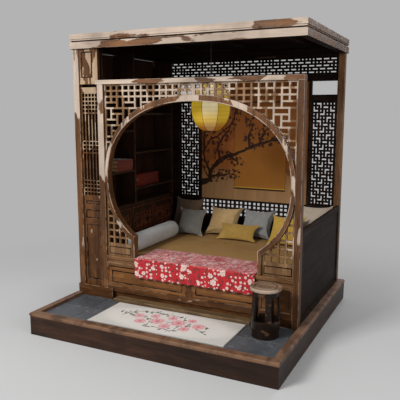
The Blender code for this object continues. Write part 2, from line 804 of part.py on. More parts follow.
def build_gate():
    """Stiles, header, moon ring and the lattices that fill the gate's corners."""
    stiles = {"gate_stile_left": (SCREEN_X1, GATE_X0), "gate_stile_right": (GATE_X1, HOUSE_R)}
    for name, (x0, x1) in stiles.items():
        make(name, box((x0, HOUSE_F, FLOOR + GAP), (x1, GATE_B, HEADER_Z - GAP)), PALE_WOOD)
    header = box((SCREEN_X1 - HEADER_EAR, HOUSE_F, HEADER_Z), (HOUSE_R, GATE_B, HEADER_TOP))
    make("gate_header", header, PALE_WOOD)

    foot = SILL_TOP + GAP
    inner = ring_curve(RING_A - RING_SIDE_W, RING_INNER_H, RING_FOOT_X, RING_STEPS)
    outer = ring_curve(RING_A, RING_B, RING_FOOT_OUT, RING_STEPS)
    inner = [(inner[0][0], foot)] + inner + [(inner[-1][0], foot)]
    outer = [(outer[0][0], foot)] + outer + [(outer[-1][0], foot)]
    make("moon_ring", ring_body(outer, inner), PALE_WOOD, smooth=20)

    half = RING_A
    y0 = HOUSE_F + LATTICE_SET
    y1 = y0 + LATTICE_T
    columns = grid_counts(half - GAP, GATE_PITCH)
    low = RING_Z + PINCH * RING_B
    rows = grid_counts(HEADER_Z - low, CROWN_H / 2)
    across = bars(GAP / 2, half, columns, GATE_BAR)
    zs = bars(low, HEADER_Z - GAP, rows, GATE_BAR)
    crown = 2 * len(rows) - 4
    last = 2 * len(columns)
    for name, side in (("spandrel_left", -1), ("spandrel_right", 1)):

        def spandrel(i, j, k, side=side):
            from_stile = i if side < 0 else last - i
            return plain_bars(i, k) if k >= crown else pinwheel_bars(from_stile, k)

        make(name, trimmed(mirrored(across, side), (y0, y1), zs, spandrel), PALE_WOOD)

    rail = SILL_TOP + CORNER_PANEL_H + CORNER_RAIL_H
    high = RING_Z - PINCH * RING_B
    rows = grid_counts(high - rail, GATE_PITCH)
    inner_x = RING_FOOT_OUT + 2 * GAP
    columns = grid_counts(half - inner_x, GATE_PITCH)
    across = bars(inner_x, half, columns, GATE_BAR)
    zs = [foot] + bars(rail - CORNER_RAIL_H, high, rows, GATE_BAR)[1:]
    for name, side in (("gate_corner_left", -1), ("gate_corner_right", 1)):
        bm = trimmed(mirrored(across, side), (y0, y1), zs, lambda i, j, k: plain_bars(i, k))
        make(name, bm, PALE_WOOD)


def ring_body(outer, inner):
    """A band between two paired outlines, as deep as the gate."""
    bm = bmesh.new()
    y0, y1 = HOUSE_F + RING_SET, GATE_B - RING_SET
    rails = [[bm.verts.new((x, y, z)) for x, z in path] for path in (outer, inner) for y in (y0, y1)]
    order = (rails[0], rails[1], rails[3], rails[2])
    for near, far in zip(order, order[1:] + order[:1]):
        for n in range(len(outer) - 1):
            bm.faces.new((near[n], near[n + 1], far[n + 1], far[n]))
    for end in (0, -1):
        bm.faces.new([rail[end] for rail in order])
    return bm


def build_bed_front():
    """Front frame of the bed's base, the sill with its apron, the step board and drawer carcass."""
    xs = (GATE_X0 + GAP, BAY_L0, BAY_L1, BAY_R0, BAY_R1, BAY_R1 + SIDE_STILE_W,
          GATE_X1 - END_STILE_W, GATE_X1 - GAP)
    ys = (HOUSE_F, HOUSE_F + BASE_STEP, HOUSE_F + 2 * BASE_STEP, HOUSE_F + BASE_FRAME_D)
    bay_top = DRAWER_BAY_Z + DRAWER_BAY_H
    zs = (FLOOR + GAP, FLOOR + TOE_H, DRAWER_BAY_Z, bay_top - GAP)

    def solid(i, j, k):
        if k == 0:
            return j == 2
        return k == 1 or i in (0, 2, 4, 6) or (i == 5 and j > 0)

    make("base_front_frame", cells(xs, ys, zs, solid), BROWN_WOOD)
    ys = (HOUSE_F - SILL_NOSE, HOUSE_F, HOUSE_F + BASE_STEP, HOUSE_F + BASE_FRAME_D, GATE_B)
    zs = (bay_top, bay_top + APRON_RAIL_H, WAIST_TOP, SILL_TOP)
    spans = ((1, 2), (2,), (0, 1, 2, 3))
    sill = cells((GATE_X0 + GAP, GATE_X1 - GAP), ys, zs, lambda i, j, k: j in spans[k])
    make("bed_sill", sill, BROWN_WOOD)
    step = box((STEP_X0, STEP_Y0, FLOOR + GAP), (STEP_X0 + STEP_L, STEP_Y1, FLOOR + STEP_H))
    make("step_board", step, BROWN_WOOD)

    ledge_top = DRAWER_BAY_Z + RUN
    xs = (BAY_L0 - RUNNER_T, BAY_L0, BAY_L0 + LEDGE_W, BAY_L1 - LEDGE_W, BAY_L1,
          BAY_R0, BAY_R0 + LEDGE_W, BAY_R1 - LEDGE_W, BAY_R1, BAY_R1 + RUNNER_T)
    ys = (HOUSE_F + BASE_FRAME_D + GAP, BED_Y1 - RUNNER_T, BED_Y1)
    zs = (FLOOR + GAP, ledge_top - LEDGE_H, ledge_top, BED_BOARD_Z - GAP)
    carcass = cells(xs, ys, zs,
                    lambda i, j, k: j == 1 or i in (0, 4, 8) or (k == 1 and i in (1, 3, 5, 7)))
    make("drawer_carcass", carcass, DARK_WOOD)


def build_drawer(side, bay_x0, bay_x1):
    """One drawer: its framed front and the open box behind it."""
    x0, x1 = bay_x0 + RUN, bay_x1 - RUN
    y0 = HOUSE_F + DRAWER_SET
    y1 = y0 + DRAWER_FRONT_T
    z0 = DRAWER_BAY_Z + RUN + GAP
    origin = ((x0 + x1) / 2, y0, z0)
    top = DRAWER_BAY_Z + DRAWER_BAY_H - FINGER_GAP
    xs = (x0, x0 + DRAWER_BORDER, x1 - DRAWER_BORDER, x1)
    zs = (z0, z0 + DRAWER_BORDER, top - DRAWER_BORDER, top)
    front = cells(xs, (y0, y0 + DRAWER_FIELD, y1), zs, lambda i, j, k: j == 1 or i != 1 or k != 1)
    make(f"drawer_{side}_front", front, BROWN_WOOD, origin)

    xs = (x0, x0 + DRAWER_WALL, x1 - DRAWER_WALL, x1)
    back = y1 + GAP + DRAWER_D
    ys = (y1 + GAP, y1 + GAP + DRAWER_WALL, back - DRAWER_WALL, back)
    zs = (z0, z0 + DRAWER_WALL, z0 + DRAWER_BOX_H)
    tray = cells(xs, ys, zs, lambda i, j, k: k == 0 or i != 1 or j != 1)
    make(f"drawer_{side}_box", tray, DARK_WOOD, origin)


def build_bed():
    """Bed boards, sleeping mat and the panel on the right side."""
    boards = box((BED_X0, BED_Y0, BED_BOARD_Z), (BED_X1, BED_Y1, BED_BOARD_Z + BED_BOARD_T))
    make("bed_boards", boards, DARK_WOOD)
    mat = box((BED_X0, BED_Y0, MAT_TOP - MAT_T + GAP), (BED_X1, BED_Y1, MAT_TOP))
    make("sleeping_mat", mat, STRAW)
    low = (HOUSE_R - SIDE_T, GATE_B + GAP, FLOOR + GAP)
    high = (HOUSE_R, HOUSE_B - POST_D - GAP, FLOOR + SIDE_H)
    make("side_panel_right", framed(low, high, SIDE_RAIL, PANEL_RECESS, axis=0), DARK_WOOD)


def back_columns():
    """Edges of the back wall's bays: side screens, middle panel and the stiles between them."""
    end = HOUSE_R - POST_W - GAP - BACK_EDGE_W
    right = (end - BACK_SCREEN_W, end)
    panel = (right[0] - BACK_STILE_W - BACK_PANEL_W, right[0] - BACK_STILE_W)
    left = (panel[0] - BACK_STILE_W - BACK_SCREEN_W, panel[0] - BACK_STILE_W)
    return left, panel, right


def build_back_wall():
    """Back frame with its low lattice, the middle panel, side lattices and frieze lattice."""
    left, panel, right = back_columns()
    x0, x1 = HOUSE_L + POST_W + GAP, HOUSE_R - POST_W - GAP
    end = x0 + BACK_END_W
    band = bars(panel[0] - BACK_BAR, panel[1] + BACK_BAR, (1,) * BAND_COLUMNS, BACK_BAR)[1:-1]
    xs = [x0, end, *left, *band, *right, x1]
    levels = [FLOOR + GAP]
    for height in BACK_STACK[:-1]:
        levels.append(levels[-1] + height)
    slots = bars(levels[1] - BACK_BAR, levels[2] + BACK_BAR, (1,) * BAND_ROWS, BACK_BAR)[1:-1]
    zs = [levels[0], *slots, *levels[3:], EAVES - GAP]
    first, last = 4, 4 + len(band) - 2
    rail = len(slots)

    def solid(i, j, k):
        middle = first <= i <= last
        side = i in (2, last + 2)
        if 1 <= k < rail:
            return not middle or (i - first) % 2 == 1 or (k - 1) % 2 == 1
        if k == rail + 1:
            return not (middle or side)
        if k == rail + 2:
            return not middle
        if k == rail + 3:
            return not (middle or side)
        if k == rail + 5:
            return i in (0, last + 3)
        return True

    make("back_frame", cells(xs, (BACK_F, BACK_F + BACK_T), zs, solid), DARK_WOOD)

    rows = bars(levels[3] + GAP, levels[4] - GAP, BACK_ROWS, BACK_BAR)
    y0 = BACK_F + BACK_LATTICE_SET
    for name, (low, high) in (("back_lattice_left", left), ("back_lattice_right", right)):
        columns = bars(low + GAP, high - GAP, (1,) * BACK_COLUMNS, BACK_BAR)
        lattice = cells(columns, (y0, y0 + BACK_LATTICE_T), rows, lambda i, j, k: plain_bars(i, k))
        make(name, lattice, DARK_WOOD)

    low, high = end + GAP, right[1] - GAP
    columns = bars(low, high, grid_counts(high - low, BACK_FRIEZE_PITCH), BACK_BAR)
    rows = bars(levels[7] + GAP, levels[8] - GAP, (1,) * BACK_FRIEZE_ROWS, BACK_BAR)
    frieze = cells(columns, (y0, y0 + BACK_LATTICE_T), rows,
                   lambda i, j, k: brick_bars(i, k) or i in (0, len(columns) - 2))
    make("back_frieze_lattice", frieze, DARK_WOOD)

    y0 = BACK_F + BACK_PANEL_SET
    board = box((panel[0] + GAP, y0, levels[3] + GAP), (panel[1] - GAP, y0 + BACK_PANEL_T, levels[6] - GAP))
    make("back_panel", board, PAINTED)

    scroll_y = y0 - GAP
    bottom = FLOOR + SCROLL_AT
    rod_y = scroll_y - SCROLL_ROD_R
    rod = [
        (rod_y + SCROLL_ROD_R * cos(t), bottom + SCROLL_ROD_R * sin(t))
        for t in (pi / 2 + n * pi / 5 for n in range(10))
    ]
    sheet = [(scroll_y, bottom), (scroll_y, bottom + SCROLL_H), (scroll_y - SCROLL_T, bottom + SCROLL_H),
             (scroll_y - SCROLL_T, bottom + SCROLL_ROD_R)]
    x0 = SCROLL_X + (panel[0] + panel[1] - SCROLL_W) / 2
    make("wall_scroll", prism(sheet + rod[:-2], 0, x0, x0 + SCROLL_W), PAPER)


def build_curio_shelf():
    """Closed foot, back board and open shelf along the left wall, and what stands on it."""
    xs = (SHELF_X0, SHELF_X0 + SHELF_BOARD, SHELF_X1 - SHELF_BOARD, SHELF_X1)
    middle = SHELF_Y0 + SHELF_BAY
    ys = (SHELF_Y0, SHELF_Y0 + SHELF_UPRIGHT, middle - SHELF_UPRIGHT / 2, middle + SHELF_UPRIGHT / 2,
          SHELF_Y1 - SHELF_UPRIGHT, SHELF_Y1)
    foot_top = FLOOR + SHELF_LOW_AT
    zs = (FLOOR + GAP, foot_top - SHELF_BOARD, foot_top)
    foot = cells(xs, ys, zs, lambda i, j, k: k == 1 or i != 1 or j in (0, 2, 4))
    make("shelf_foot", foot, BROWN_WOOD)

    boards = {at: 1 for at in SHELF_FRONT_AT}
    boards.update({at: 3 for at in SHELF_REAR_AT})
    zs = [foot_top + GAP]
    holders = [None]
    for at in sorted(boards):
        zs += [FLOOR + at - SHELF_BOARD, FLOOR + at]
        holders += [boards[at], None]
    zs.append(FLOOR + SHELF_H)
    back = SHELF_X0 + SHELF_BACK
    make("shelf_back", box((SHELF_X0, SHELF_Y0, zs[0]), (back, SHELF_Y1, zs[-1])), BROWN_WOOD)
    shelf = cells((back + GAP, SHELF_X1), ys, zs, lambda i, j, k: j in (0, 2, 4) or j == holders[k])
    make("curio_shelf", shelf, BROWN_WOOD)

    book_x, book_y = BOOK_SIZE
    x1 = SHELF_X1 - BOOK_MARGIN
    y1 = ys[2] - BOOK_MARGIN
    z0 = FLOOR + SHELF_FRONT_AT[0] + GAP
    xs = (x1 - book_x, x1 - book_x + BOOK_COVER, x1 - BOOK_COVER, x1)
    ys = (y1 - book_y, y1 - book_y + BOOK_COVER, y1 - BOOK_COVER, y1)
    zs = [z0]
    for n in range(BOOK_COUNT):
        zs += [zs[-1] + BOOK_COVER, zs[-1] + BOOK_T - BOOK_COVER, zs[-1] + BOOK_T]
    books = cells(xs, ys, zs, lambda i, j, k: k % 3 != 1 or (i == 1 and j == 1))
    make("book_stack", books, LACQUER)

    x1 = SHELF_X1 - BOX_MARGIN
    y0 = middle + SHELF_UPRIGHT / 2 + BOX_MARGIN
    z0 = FLOOR + SHELF_REAR_AT[0] + GAP
    xs = (x1 - BOX_SIZE[0], x1 - BOX_SIZE[0] + BOX_GROOVE, x1 - BOX_GROOVE, x1)
    ys = (y0, y0 + BOX_GROOVE, y0 + BOX_SIZE[1] - BOX_GROOVE, y0 + BOX_SIZE[1])
    zs = (z0, z0 + BOX_LID_AT, z0 + BOX_LID_AT + BOX_GROOVE, z0 + BOX_SIZE[2])
    chest = cells(xs, ys, zs, lambda i, j, k: k != 1 or (i == 1 and j == 1))
    make("lacquer_box", chest, LACQUER)


def gore_factor(angle):
    """Radius factor of a cloth skin drawn half flat between ribs."""
    part = 2 * pi / GORES
    flat = cos(part / 2) / cos(angle % part - part / 2)
    return (1 + flat) / 2


def build_lantern():
    """Ceiling hook, the hanger that swings on its pin and the gored shade."""
    hang = Matrix.Translation((LANTERN_X, LANTERN_Y0, 0))
    origin = (LANTERN_X, LANTERN_Y0, HINGE_Z)
    ear = EYE_T / 2 + EYE_SIDE
    plate_top = SLAB_Z - GAP
    xs = (-HOOK_L / 2, -EAR_W / 2, EAR_W / 2, HOOK_L / 2)
    ys = (-HOOK_W / 2, -ear - EAR_T, -ear, ear, ear + EAR_T, HOOK_W / 2)
    zs = (plate_top - HOOK_T - EAR_DROP, plate_top - HOOK_T, plate_top)
    clevis = cells(xs, ys, zs, lambda i, j, k: k == 1 or (i == 1 and j in (1, 3)))
    pin = lathe([(0.0, -ear - EAR_T / 2), (PIN_R, -ear - EAR_T / 2), (PIN_R, ear + EAR_T / 2),
                 (0.0, ear + EAR_T / 2)], PIN_SIDES)
    lay = Matrix.Translation((0, 0, HINGE_Z)) @ Matrix.Rotation(pi / 2, 4, "X")
    hook = combined(clevis, moved(pin, lay), "UNION")
    make("ceiling_hook", moved(hook, hang), IRON)

    top = FLOOR + LANTERN_AT + LANTERN_H
    stem = LANTERN_NECK_R - RUN
    under = top - LANTERN_WALL - GAP
    rod = lathe([(0.0, HINGE_Z - EYE_R / 2), (ROD_R, HINGE_Z - EYE_R / 2), (ROD_R, top + GAP + CAP_T),
                 (CAP_R, top + GAP + CAP_T), (CAP_R, top + GAP), (stem, top + GAP), (stem, under),
                 (COLLAR_R, under), (COLLAR_R, under - CAP_T), (0.0, under - CAP_T)], ROD_SIDES)
    bore_r = PIN_R + PIN_RUN
    eye = lathe([(EYE_R, -EYE_T / 2), (EYE_R, EYE_T / 2), (bore_r, EYE_T / 2), (bore_r, -EYE_T / 2)],
                PIN_SIDES, closed=True)
    hanger = combined(rod, moved(eye, lay), "UNION")
    bore = lathe([(0.0, -EYE_T), (bore_r, -EYE_T), (bore_r, EYE_T), (0.0, EYE_T)], PIN_SIDES)
    hanger = combined(hanger, moved(bore, lay), "DIFFERENCE")
    make("lantern_hanger", moved(hanger, hang), IRON, origin, smooth=35)

    middle = FLOOR + LANTERN_AT + LANTERN_H / 2
    limit = pi / 2 - (LANTERN_END_R / LANTERN_R) ** (1 / LANTERN_FULLNESS)

    def skin(inset):
        points = []
        for n in range(LANTERN_STEPS + 1):
            t = limit * (2 * n / LANTERN_STEPS - 1)
            radius = LANTERN_R * cos(t) ** LANTERN_FULLNESS - inset
            points.append((radius, middle + (LANTERN_H / 2 - inset) * sin(t) / sin(limit)))
        return points

    outer = skin(0.0)
    inner = skin(LANTERN_WALL)
    mouth, neck = LANTERN_MOUTH_R, LANTERN_NECK_R
    loop = [(mouth, outer[0][1])] + outer + [(neck, outer[-1][1]), (neck, inner[-1][1])]
    loop += inner[::-1] + [(mouth, inner[0][1])]
    shade = lathe(loop, GORES * 2, closed=True, factor=gore_factor)
    make("lantern_shade", moved(shade, hang), SILK, origin, smooth=25)


def build_stool():
    """Garden stool: pierced drum and a lid with a sunk round panel."""
    place_at = Matrix.Translation((STOOL_X, STOOL_Y, FLOOR + GAP))
    drum_h = STOOL_H - STOOL_TOP_T - GAP
    hoop_top = STOOL_HOOP_AT + STOOL_HOOP_H
    head = drum_h - STOOL_HEAD_H
    zs = (0.0, STOOL_BASE_H, STOOL_HOOP_AT, hoop_top, head, drum_h)
    out = (STOOL_HOOP_OUT, 0.0, STOOL_HOOP_OUT, STOOL_HOOP_OUT, 0.0, 0.0)
    proud = dict(zip(zs, out))
    count = STOOL_WINDOWS * STOOL_STEPS
    angles = [2 * pi * n / count for n in range(count)]

    def place(angle, share, z):
        radius = STOOL_R - STOOL_BULGE + STOOL_BULGE * sin(pi * z / drum_h)
        radius += proud[z] if share else -STOOL_WALL
        return radius * cos(angle), radius * sin(angle), z

    def solid(i, j, k):
        return k != 3 or i % STOOL_STEPS < STOOL_PILLAR_STEPS

    drum = cells(angles, (0, 1), zs, solid, place, wrap=True)
    make("stool_drum", moved(drum, place_at), DARK_WOOD, smooth=30)

    z0 = drum_h + GAP
    z1 = STOOL_H
    edge = STOOL_TOP_T / 4
    lid = lathe([(0.0, z0), (STOOL_TOP_R - edge, z0), (STOOL_TOP_R, z0 + edge), (STOOL_TOP_R, z1 - edge),
                 (STOOL_TOP_R - edge, z1), (STOOL_INSET_R, z1), (STOOL_INSET_R, z1 - STOOL_INSET),
                 (0.0, z1 - STOOL_INSET)], STOOL_SIDES)
    make("stool_lid", moved(lid, place_at), PALE_WOOD, smooth=30)


def build_rug():
    """Flat rug on the tiles before the step."""
    x0, y0 = RUG_X1 - RUG_L, FRONT + RUG_Y
    make("rug", box((x0, y0, FLOOR + GAP), (x0 + RUG_L, y0 + RUG_D, FLOOR + GAP + RUG_T)), WOOL)


def build_bolster():
    """Round bolster along the shelf side of the mat, with gathered ends."""
    half = BOLSTER_L / 2
    profile = [(0.0, BOLSTER_DIMPLE - half)]
    for n in range(1, BOLSTER_STEPS):
        t = 2 * n / BOLSTER_STEPS - 1
        swell = (1 - abs(t) ** BOLSTER_SQUARENESS) ** 0.5
        radius = BOLSTER_END_R + (BOLSTER_R - BOLSTER_END_R) * swell
        profile.append((radius, half * signed_power(t, 0.6)))
    profile.append((0.0, half - BOLSTER_DIMPLE))
    bm = moved(lathe(profile, BOLSTER_SIDES), Matrix.Rotation(-pi / 2, 4, "X"))
    lowest = min(vert.co.z for vert in bm.verts)
    seat = Matrix.Translation((BED_X0 + BOLSTER_X, BED_Y0 + BOLSTER_Y + half, MAT_TOP + GAP - lowest))
    make("bolster", moved(bm, seat), (CLOTHS["bolster"], 0.9, 0.0), smooth=60)


def pillow(width, height, thickness):
    """A square cushion standing in the xz plane: full crown, drawn-in sides, pointed corners.

    A corner's face is split from the corner inwards, so that the two sides never meet there.
    """
    bm = bmesh.new()
    steps = CUSHION_STEPS
    last = steps - 1
    turns = ((0, 0), (1, 0), (1, 1), (0, 1))
    corners = {(0, 0): 0, (last, 0): 1, (last, last): 2, (0, last): 3}
    faces = {}
    for side in (-1, 1):
        for a in range(steps + 1):
            for b in range(steps + 1):
                rim = a in (0, steps) or b in (0, steps)
                if rim and side == 1:
                    faces[side, a, b] = faces[-1, a, b]
                    continue
                u = sin(pi / 2 * (2 * a / steps - 1))
                v = sin(pi / 2 * (2 * b / steps - 1))
                x = width / 2 * u * (1 - CUSHION_DRAW * u * u * (1 - v * v))
                z = height / 2 * v * (1 - CUSHION_DRAW * v * v * (1 - u * u))
                crown = ((1 - u * u) * (1 - v * v)) ** 0.42
                faces[side, a, b] = bm.verts.new((x, side * thickness / 2 * crown, z))
    for side in (-1, 1):
        for a in range(steps):
            for b in range(steps):
                ring = [faces[side, a + c, b + d] for c, d in turns]
                corner = corners.get((a, b))
                if corner is None:
                    bm.faces.new(ring)
                    continue
                ring = ring[corner:] + ring[:corner]
                bm.faces.new(ring[:3])
                bm.faces.new((ring[0], ring[2], ring[3]))
    return bm


def cushion_places():
    """Middle of each cushion along its row."""
    places = {}
    for row, shares in zip(CUSHION_ROWS, CUSHION_ROW_SHARES):
        spare = BED_X1 - BED_X0 - sum(CUSHIONS[name][0] for name, _ in row)
        x = BED_X0
        for name, share in row:
            x += spare * share / shares
            places[name] = x + CUSHIONS[name][0] / 2
            x += CUSHIONS[name][0]
    return places


def build_cushions():
    """Cushions leaning on the back wall and on each other."""
    places = cushion_places()
    for name, (width, height, thickness, lean, behind) in CUSHIONS.items():
        bm = moved(pillow(width, height, thickness), Matrix.Rotation(-radians(lean), 4, "X"))
        lowest = min(vert.co.z for vert in bm.verts)
        rearmost = max(vert.co.y for vert in bm.verts)
        seat = Matrix.Translation((places[name], BED_Y1 - behind - rearmost, MAT_TOP + GAP - lowest))
        make(name, moved(bm, seat), (CLOTHS[name], 0.9, 0.0), smooth=60)


def cloth(columns, rows, front, back):
    """A closed quilt between two surfaces given over the same grid."""
    bm = bmesh.new()
    grids = [[[bm.verts.new(surface(a, b)) for b in range(rows + 1)] for a in range(columns + 1)]
             for surface in (front, back)]
    for grid in grids:
        for a in range(columns):
            for b in range(rows):
                bm.faces.new((grid[a][b], grid[a + 1][b], grid[a + 1][b + 1], grid[a][b + 1]))
    rim = [(a, 0) for a in range(columns)] + [(columns, b) for b in range(rows)]
    rim += [(a, rows) for a in range(columns, 0, -1)] + [(0, b) for b in range(rows, 0, -1)]
    for (a, b), (c, d) in zip(rim, rim[1:] + rim[:1]):
        bm.faces.new((grids[0][a][b], grids[0][c][d], grids[1][c][d], grids[1][a][b]))
    return bm


def fold(x):
    """Share of a hanging fold's depth at a place along the coverlet, from 0 to 1."""
    return 0.5 + 0.5 * sin(2 * pi * x / COVERLET_FOLD + 1.1 * sin(5.0 * x))


def build_coverlet():
    """Red coverlet: the part that lies on the mat and two flaps that hang before the drawers."""
    x0, x1 = GATE_X - COVERLET_L, GATE_X + COVERLET_R
    flap_back = HOUSE_F - SILL_NOSE - COVERLET_STAND_OFF
    front_y = flap_back - COVERLET_T - COVERLET_WAVE
    back_y = BED_Y0 + COVERLET_BACK - COVERLET_T
    base = MAT_TOP + GAP
    columns, rows = 16, 5

    def lower(a, b):
        x = x0 + (x1 - x0) * a / columns
        rear = back_y - 0.5 * COVERLET_STAND_OFF * a
        return x, front_y + (rear - front_y) * b / rows, base

    def upper(a, b):
        x, y, z = lower(a, b)
        ripple = COVERLET_WAVE / 3 * sin(2 * pi * x / (2 * COVERLET_FOLD) + 3.0 * b / rows)
        return x, y, z + COVERLET_T + ripple

    make("coverlet_top", cloth(columns, rows, upper, lower), (RED_CLOTH[0], 0.85, 0.0), smooth=60)

    split = GATE_X + COVERLET_SPLIT
    top = MAT_TOP
    flaps = {"coverlet_flap_left": (x0, split - GAP), "coverlet_flap_right": (split + GAP, x1)}
    rows = 3
    for name, (low, high) in flaps.items():
        columns = max(4, round((high - low) / COVERLET_FOLD * COVERLET_FOLD_STEPS))

        def rear(a, b, low=low, high=high, columns=columns):
            x = low + (high - low) * a / columns
            share = b / rows
            y = flap_back - COVERLET_WAVE * fold(x) * (1 + 2 * share) / 3
            hem = COVERLET_DROP + COVERLET_WAVE * (1 - fold(x))
            return x, y, top - hem * share

        def face(a, b, rear=rear):
            x, y, z = rear(a, b)
            return x, y - COVERLET_T, z

        make(name, cloth(columns, rows, face, rear), (RED_CLOTH[0], 0.85, 0.0), smooth=60)


def main():
    """Build every piece of the bed."""
    clear_scene()
    build_platform()
    build_house_frame()
    build_side_screen()
    build_gate()
    build_bed_front()
    build_drawer("left", BAY_L0, BAY_L1)
    build_drawer("right", BAY_R0, BAY_R1)
    build_bed()
    build_back_wall()
    build_curio_shelf()
    build_lantern()
    build_stool()
    build_rug()
    build_bolster()
    build_cushions()
    build_coverlet()


main()
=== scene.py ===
"""Looks of the alcove bed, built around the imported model.

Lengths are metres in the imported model's frame: the front faces -Y and +Z is up.
"""

import json
import logging
from dataclasses import dataclass, replace
from enum import Enum
from functools import cache
from math import acos, atan2, copysign, cos, pi, radians, sin

import bmesh
import bpy
from mathutils import Matrix, Vector, noise

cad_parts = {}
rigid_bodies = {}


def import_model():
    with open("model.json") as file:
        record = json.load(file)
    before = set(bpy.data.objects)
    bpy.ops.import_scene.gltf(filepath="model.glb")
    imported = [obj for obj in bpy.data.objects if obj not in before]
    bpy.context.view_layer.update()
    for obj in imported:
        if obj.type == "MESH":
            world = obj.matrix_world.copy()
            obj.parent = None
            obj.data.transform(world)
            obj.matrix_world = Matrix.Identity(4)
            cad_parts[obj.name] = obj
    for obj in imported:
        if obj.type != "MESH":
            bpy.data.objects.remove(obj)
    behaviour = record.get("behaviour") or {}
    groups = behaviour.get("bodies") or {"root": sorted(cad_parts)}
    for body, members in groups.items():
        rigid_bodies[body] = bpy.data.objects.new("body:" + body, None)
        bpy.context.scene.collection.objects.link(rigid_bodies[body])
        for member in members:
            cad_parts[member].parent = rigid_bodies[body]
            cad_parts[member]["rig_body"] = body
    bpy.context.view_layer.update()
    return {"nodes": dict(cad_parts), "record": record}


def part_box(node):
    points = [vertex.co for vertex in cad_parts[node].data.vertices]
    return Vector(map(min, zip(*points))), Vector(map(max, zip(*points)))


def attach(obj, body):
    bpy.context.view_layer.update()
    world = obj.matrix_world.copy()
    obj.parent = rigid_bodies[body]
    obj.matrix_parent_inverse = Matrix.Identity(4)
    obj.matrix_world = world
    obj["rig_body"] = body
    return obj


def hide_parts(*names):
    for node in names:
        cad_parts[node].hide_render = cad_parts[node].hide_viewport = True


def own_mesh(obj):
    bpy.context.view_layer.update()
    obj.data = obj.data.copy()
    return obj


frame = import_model()

LOG = logging.getLogger("alcove_bed")
NODES = frame["nodes"]
SLOT_OF = {row["node"]: row["material_slot"] for row in frame["record"]["subparts"]}
BED = "bed"
LANTERN = "lantern"
CLOTH_MAP = "cloth"
BOARD = "board"
BOARD_SHIFT = Vector((1.37, 0.83, 2.11))
GRAIN_SQUEEZE = 0.07
PATCH_SQUEEZE = 0.42
TURN = 2 * pi
WELD = 1e-6
CAD_WELD = 1e-5
HAIR = 0.001
UP = Vector((0.0, 0.0, 1.0))
TUBE_SMOOTH = 50.0
SOFT_SMOOTH = 60.0
CLOTH_SMOOTH = 80.0

Colour = tuple[float, float, float]
Point = tuple[float, float]
Mesh = bmesh.types.BMesh
Piece = bpy.types.Object
Material = bpy.types.Material
Tree = bpy.types.NodeTree
Socket = bpy.types.NodeSocket
Outputs = bpy.types.NodeOutputs


class Axis(Enum):
    """Direction of a board's grain."""

    X = 0
    Y = 1
    Z = 2

    def squeezed(self, share: float) -> tuple[float, ...]:
        """Scale of a pattern that is drawn out along the grain."""
        return tuple(share if n == self.value else 1.0 for n in range(3))


def shade(colour: Colour, factor: float) -> Colour:
    """A colour made darker or lighter."""
    return tuple(part * factor for part in colour)


class Graph:
    """A shader node tree with short ways to add and join nodes."""

    def __init__(self, tree: Tree) -> None:
        """Keep the tree."""
        self.tree = tree

    def feed(self, socket: Socket, value: object) -> None:
        """Link a socket to another, or set its plain value.

        Args:
            socket: the input.
            value: an output to link, or a value.
        """
        if isinstance(value, Socket):
            self.tree.links.new(value, socket)
        else:
            socket.default_value = value

    def add(self, kind: str, *values: object, **settings: object) -> bpy.types.Node:
        """Add a node.

        Args:
            kind: the end of the node's type name.
            values: what its inputs take, in their order.
            settings: properties to set on it.

        Returns:
            The node.
        """
        node = self.tree.nodes.new(f"ShaderNode{kind}")
        for name, value in settings.items():
            setattr(node, name, value)
        for socket, value in zip(node.inputs, values):
            self.feed(socket, value)
        return node

    def fed(self, node: bpy.types.Node, **values: object) -> Outputs:
        """A node's outputs, once its inputs are fed by their names."""
        for name, value in values.items():
            self.feed(node.inputs[name], value)
        return node.outputs

    def use(self, group: Tree, **values: object) -> Outputs:
        """The outputs of a node group that takes these values."""
        return self.fed(self.add("Group", node_tree=group), **values)

    def math(self, operation: str, *values: object, clamp: bool = False) -> Socket:
        """The result of a math node, kept from 0 to 1 if it is clamped."""
        return self.add("Math", *values, operation=operation, use_clamp=clamp).outputs[0]

    def times(self, first: object, second: object) -> Socket:
        """The product of two numbers."""
        return self.math("MULTIPLY", first, second)

    def plus(self, value: object, factor: object, base: object, clamp: bool = False) -> Socket:
        """A value times a factor, plus a base."""
        return self.math("MULTIPLY_ADD", value, factor, base, clamp=clamp)

    def vector(self, operation: str, *values: object, out: str = "Vector") -> Socket:
        """The named result of a vector math node."""
        return self.add("VectorMath", *values, operation=operation).outputs[out]

    def scaled(self, vector: object, scale: object) -> Socket:
        """A vector times a number."""
        return self.fed(self.add("VectorMath", vector, operation="SCALE"), Scale=scale)["Vector"]

    def split(self, vector: object) -> Outputs:
        """The x, y and z of a vector."""
        return self.add("SeparateXYZ", vector).outputs

    def joined(self, x: object = 0.0, y: object = 0.0, z: object = 0.0) -> Socket:
        """A vector of three numbers."""
        return self.add("CombineXYZ", x, y, z).outputs[0]

    def mix(self, factor: object, first: object, second: object) -> Socket:
        """Two colours mixed.

        Args:
            factor: share of the second.
            first: the first colour.
            second: the second colour.

        Returns:
            The mixed colour's socket.
        """
        node = self.add("Mix", factor, data_type="RGBA")
        for socket, value in ((node.inputs[6], first), (node.inputs[7], second)):
            self.feed(socket, (*value, 1.0) if isinstance(value, tuple) else value)
        return node.outputs[2]

    def noise(self, vector: object, scale: object, detail: float = 2.0, roughness: float = 0.5,
              distortion: float = 0.0) -> Socket:
        """A noise texture's value at a place, with a number of waves in a metre."""
        return self.fed(self.add("TexNoise"), Vector=vector, Scale=scale, Detail=detail, Roughness=roughness,
                        Distortion=distortion)[0]

    def step(self, value: object, low: object, high: object, start: float = 0.0, end: float = 1.0) -> Socket:
        """A smooth step of a value from low to high, which goes from start to end."""
        return self.add("MapRange", value, low, high, start, end, interpolation_type="SMOOTHSTEP").outputs[0]


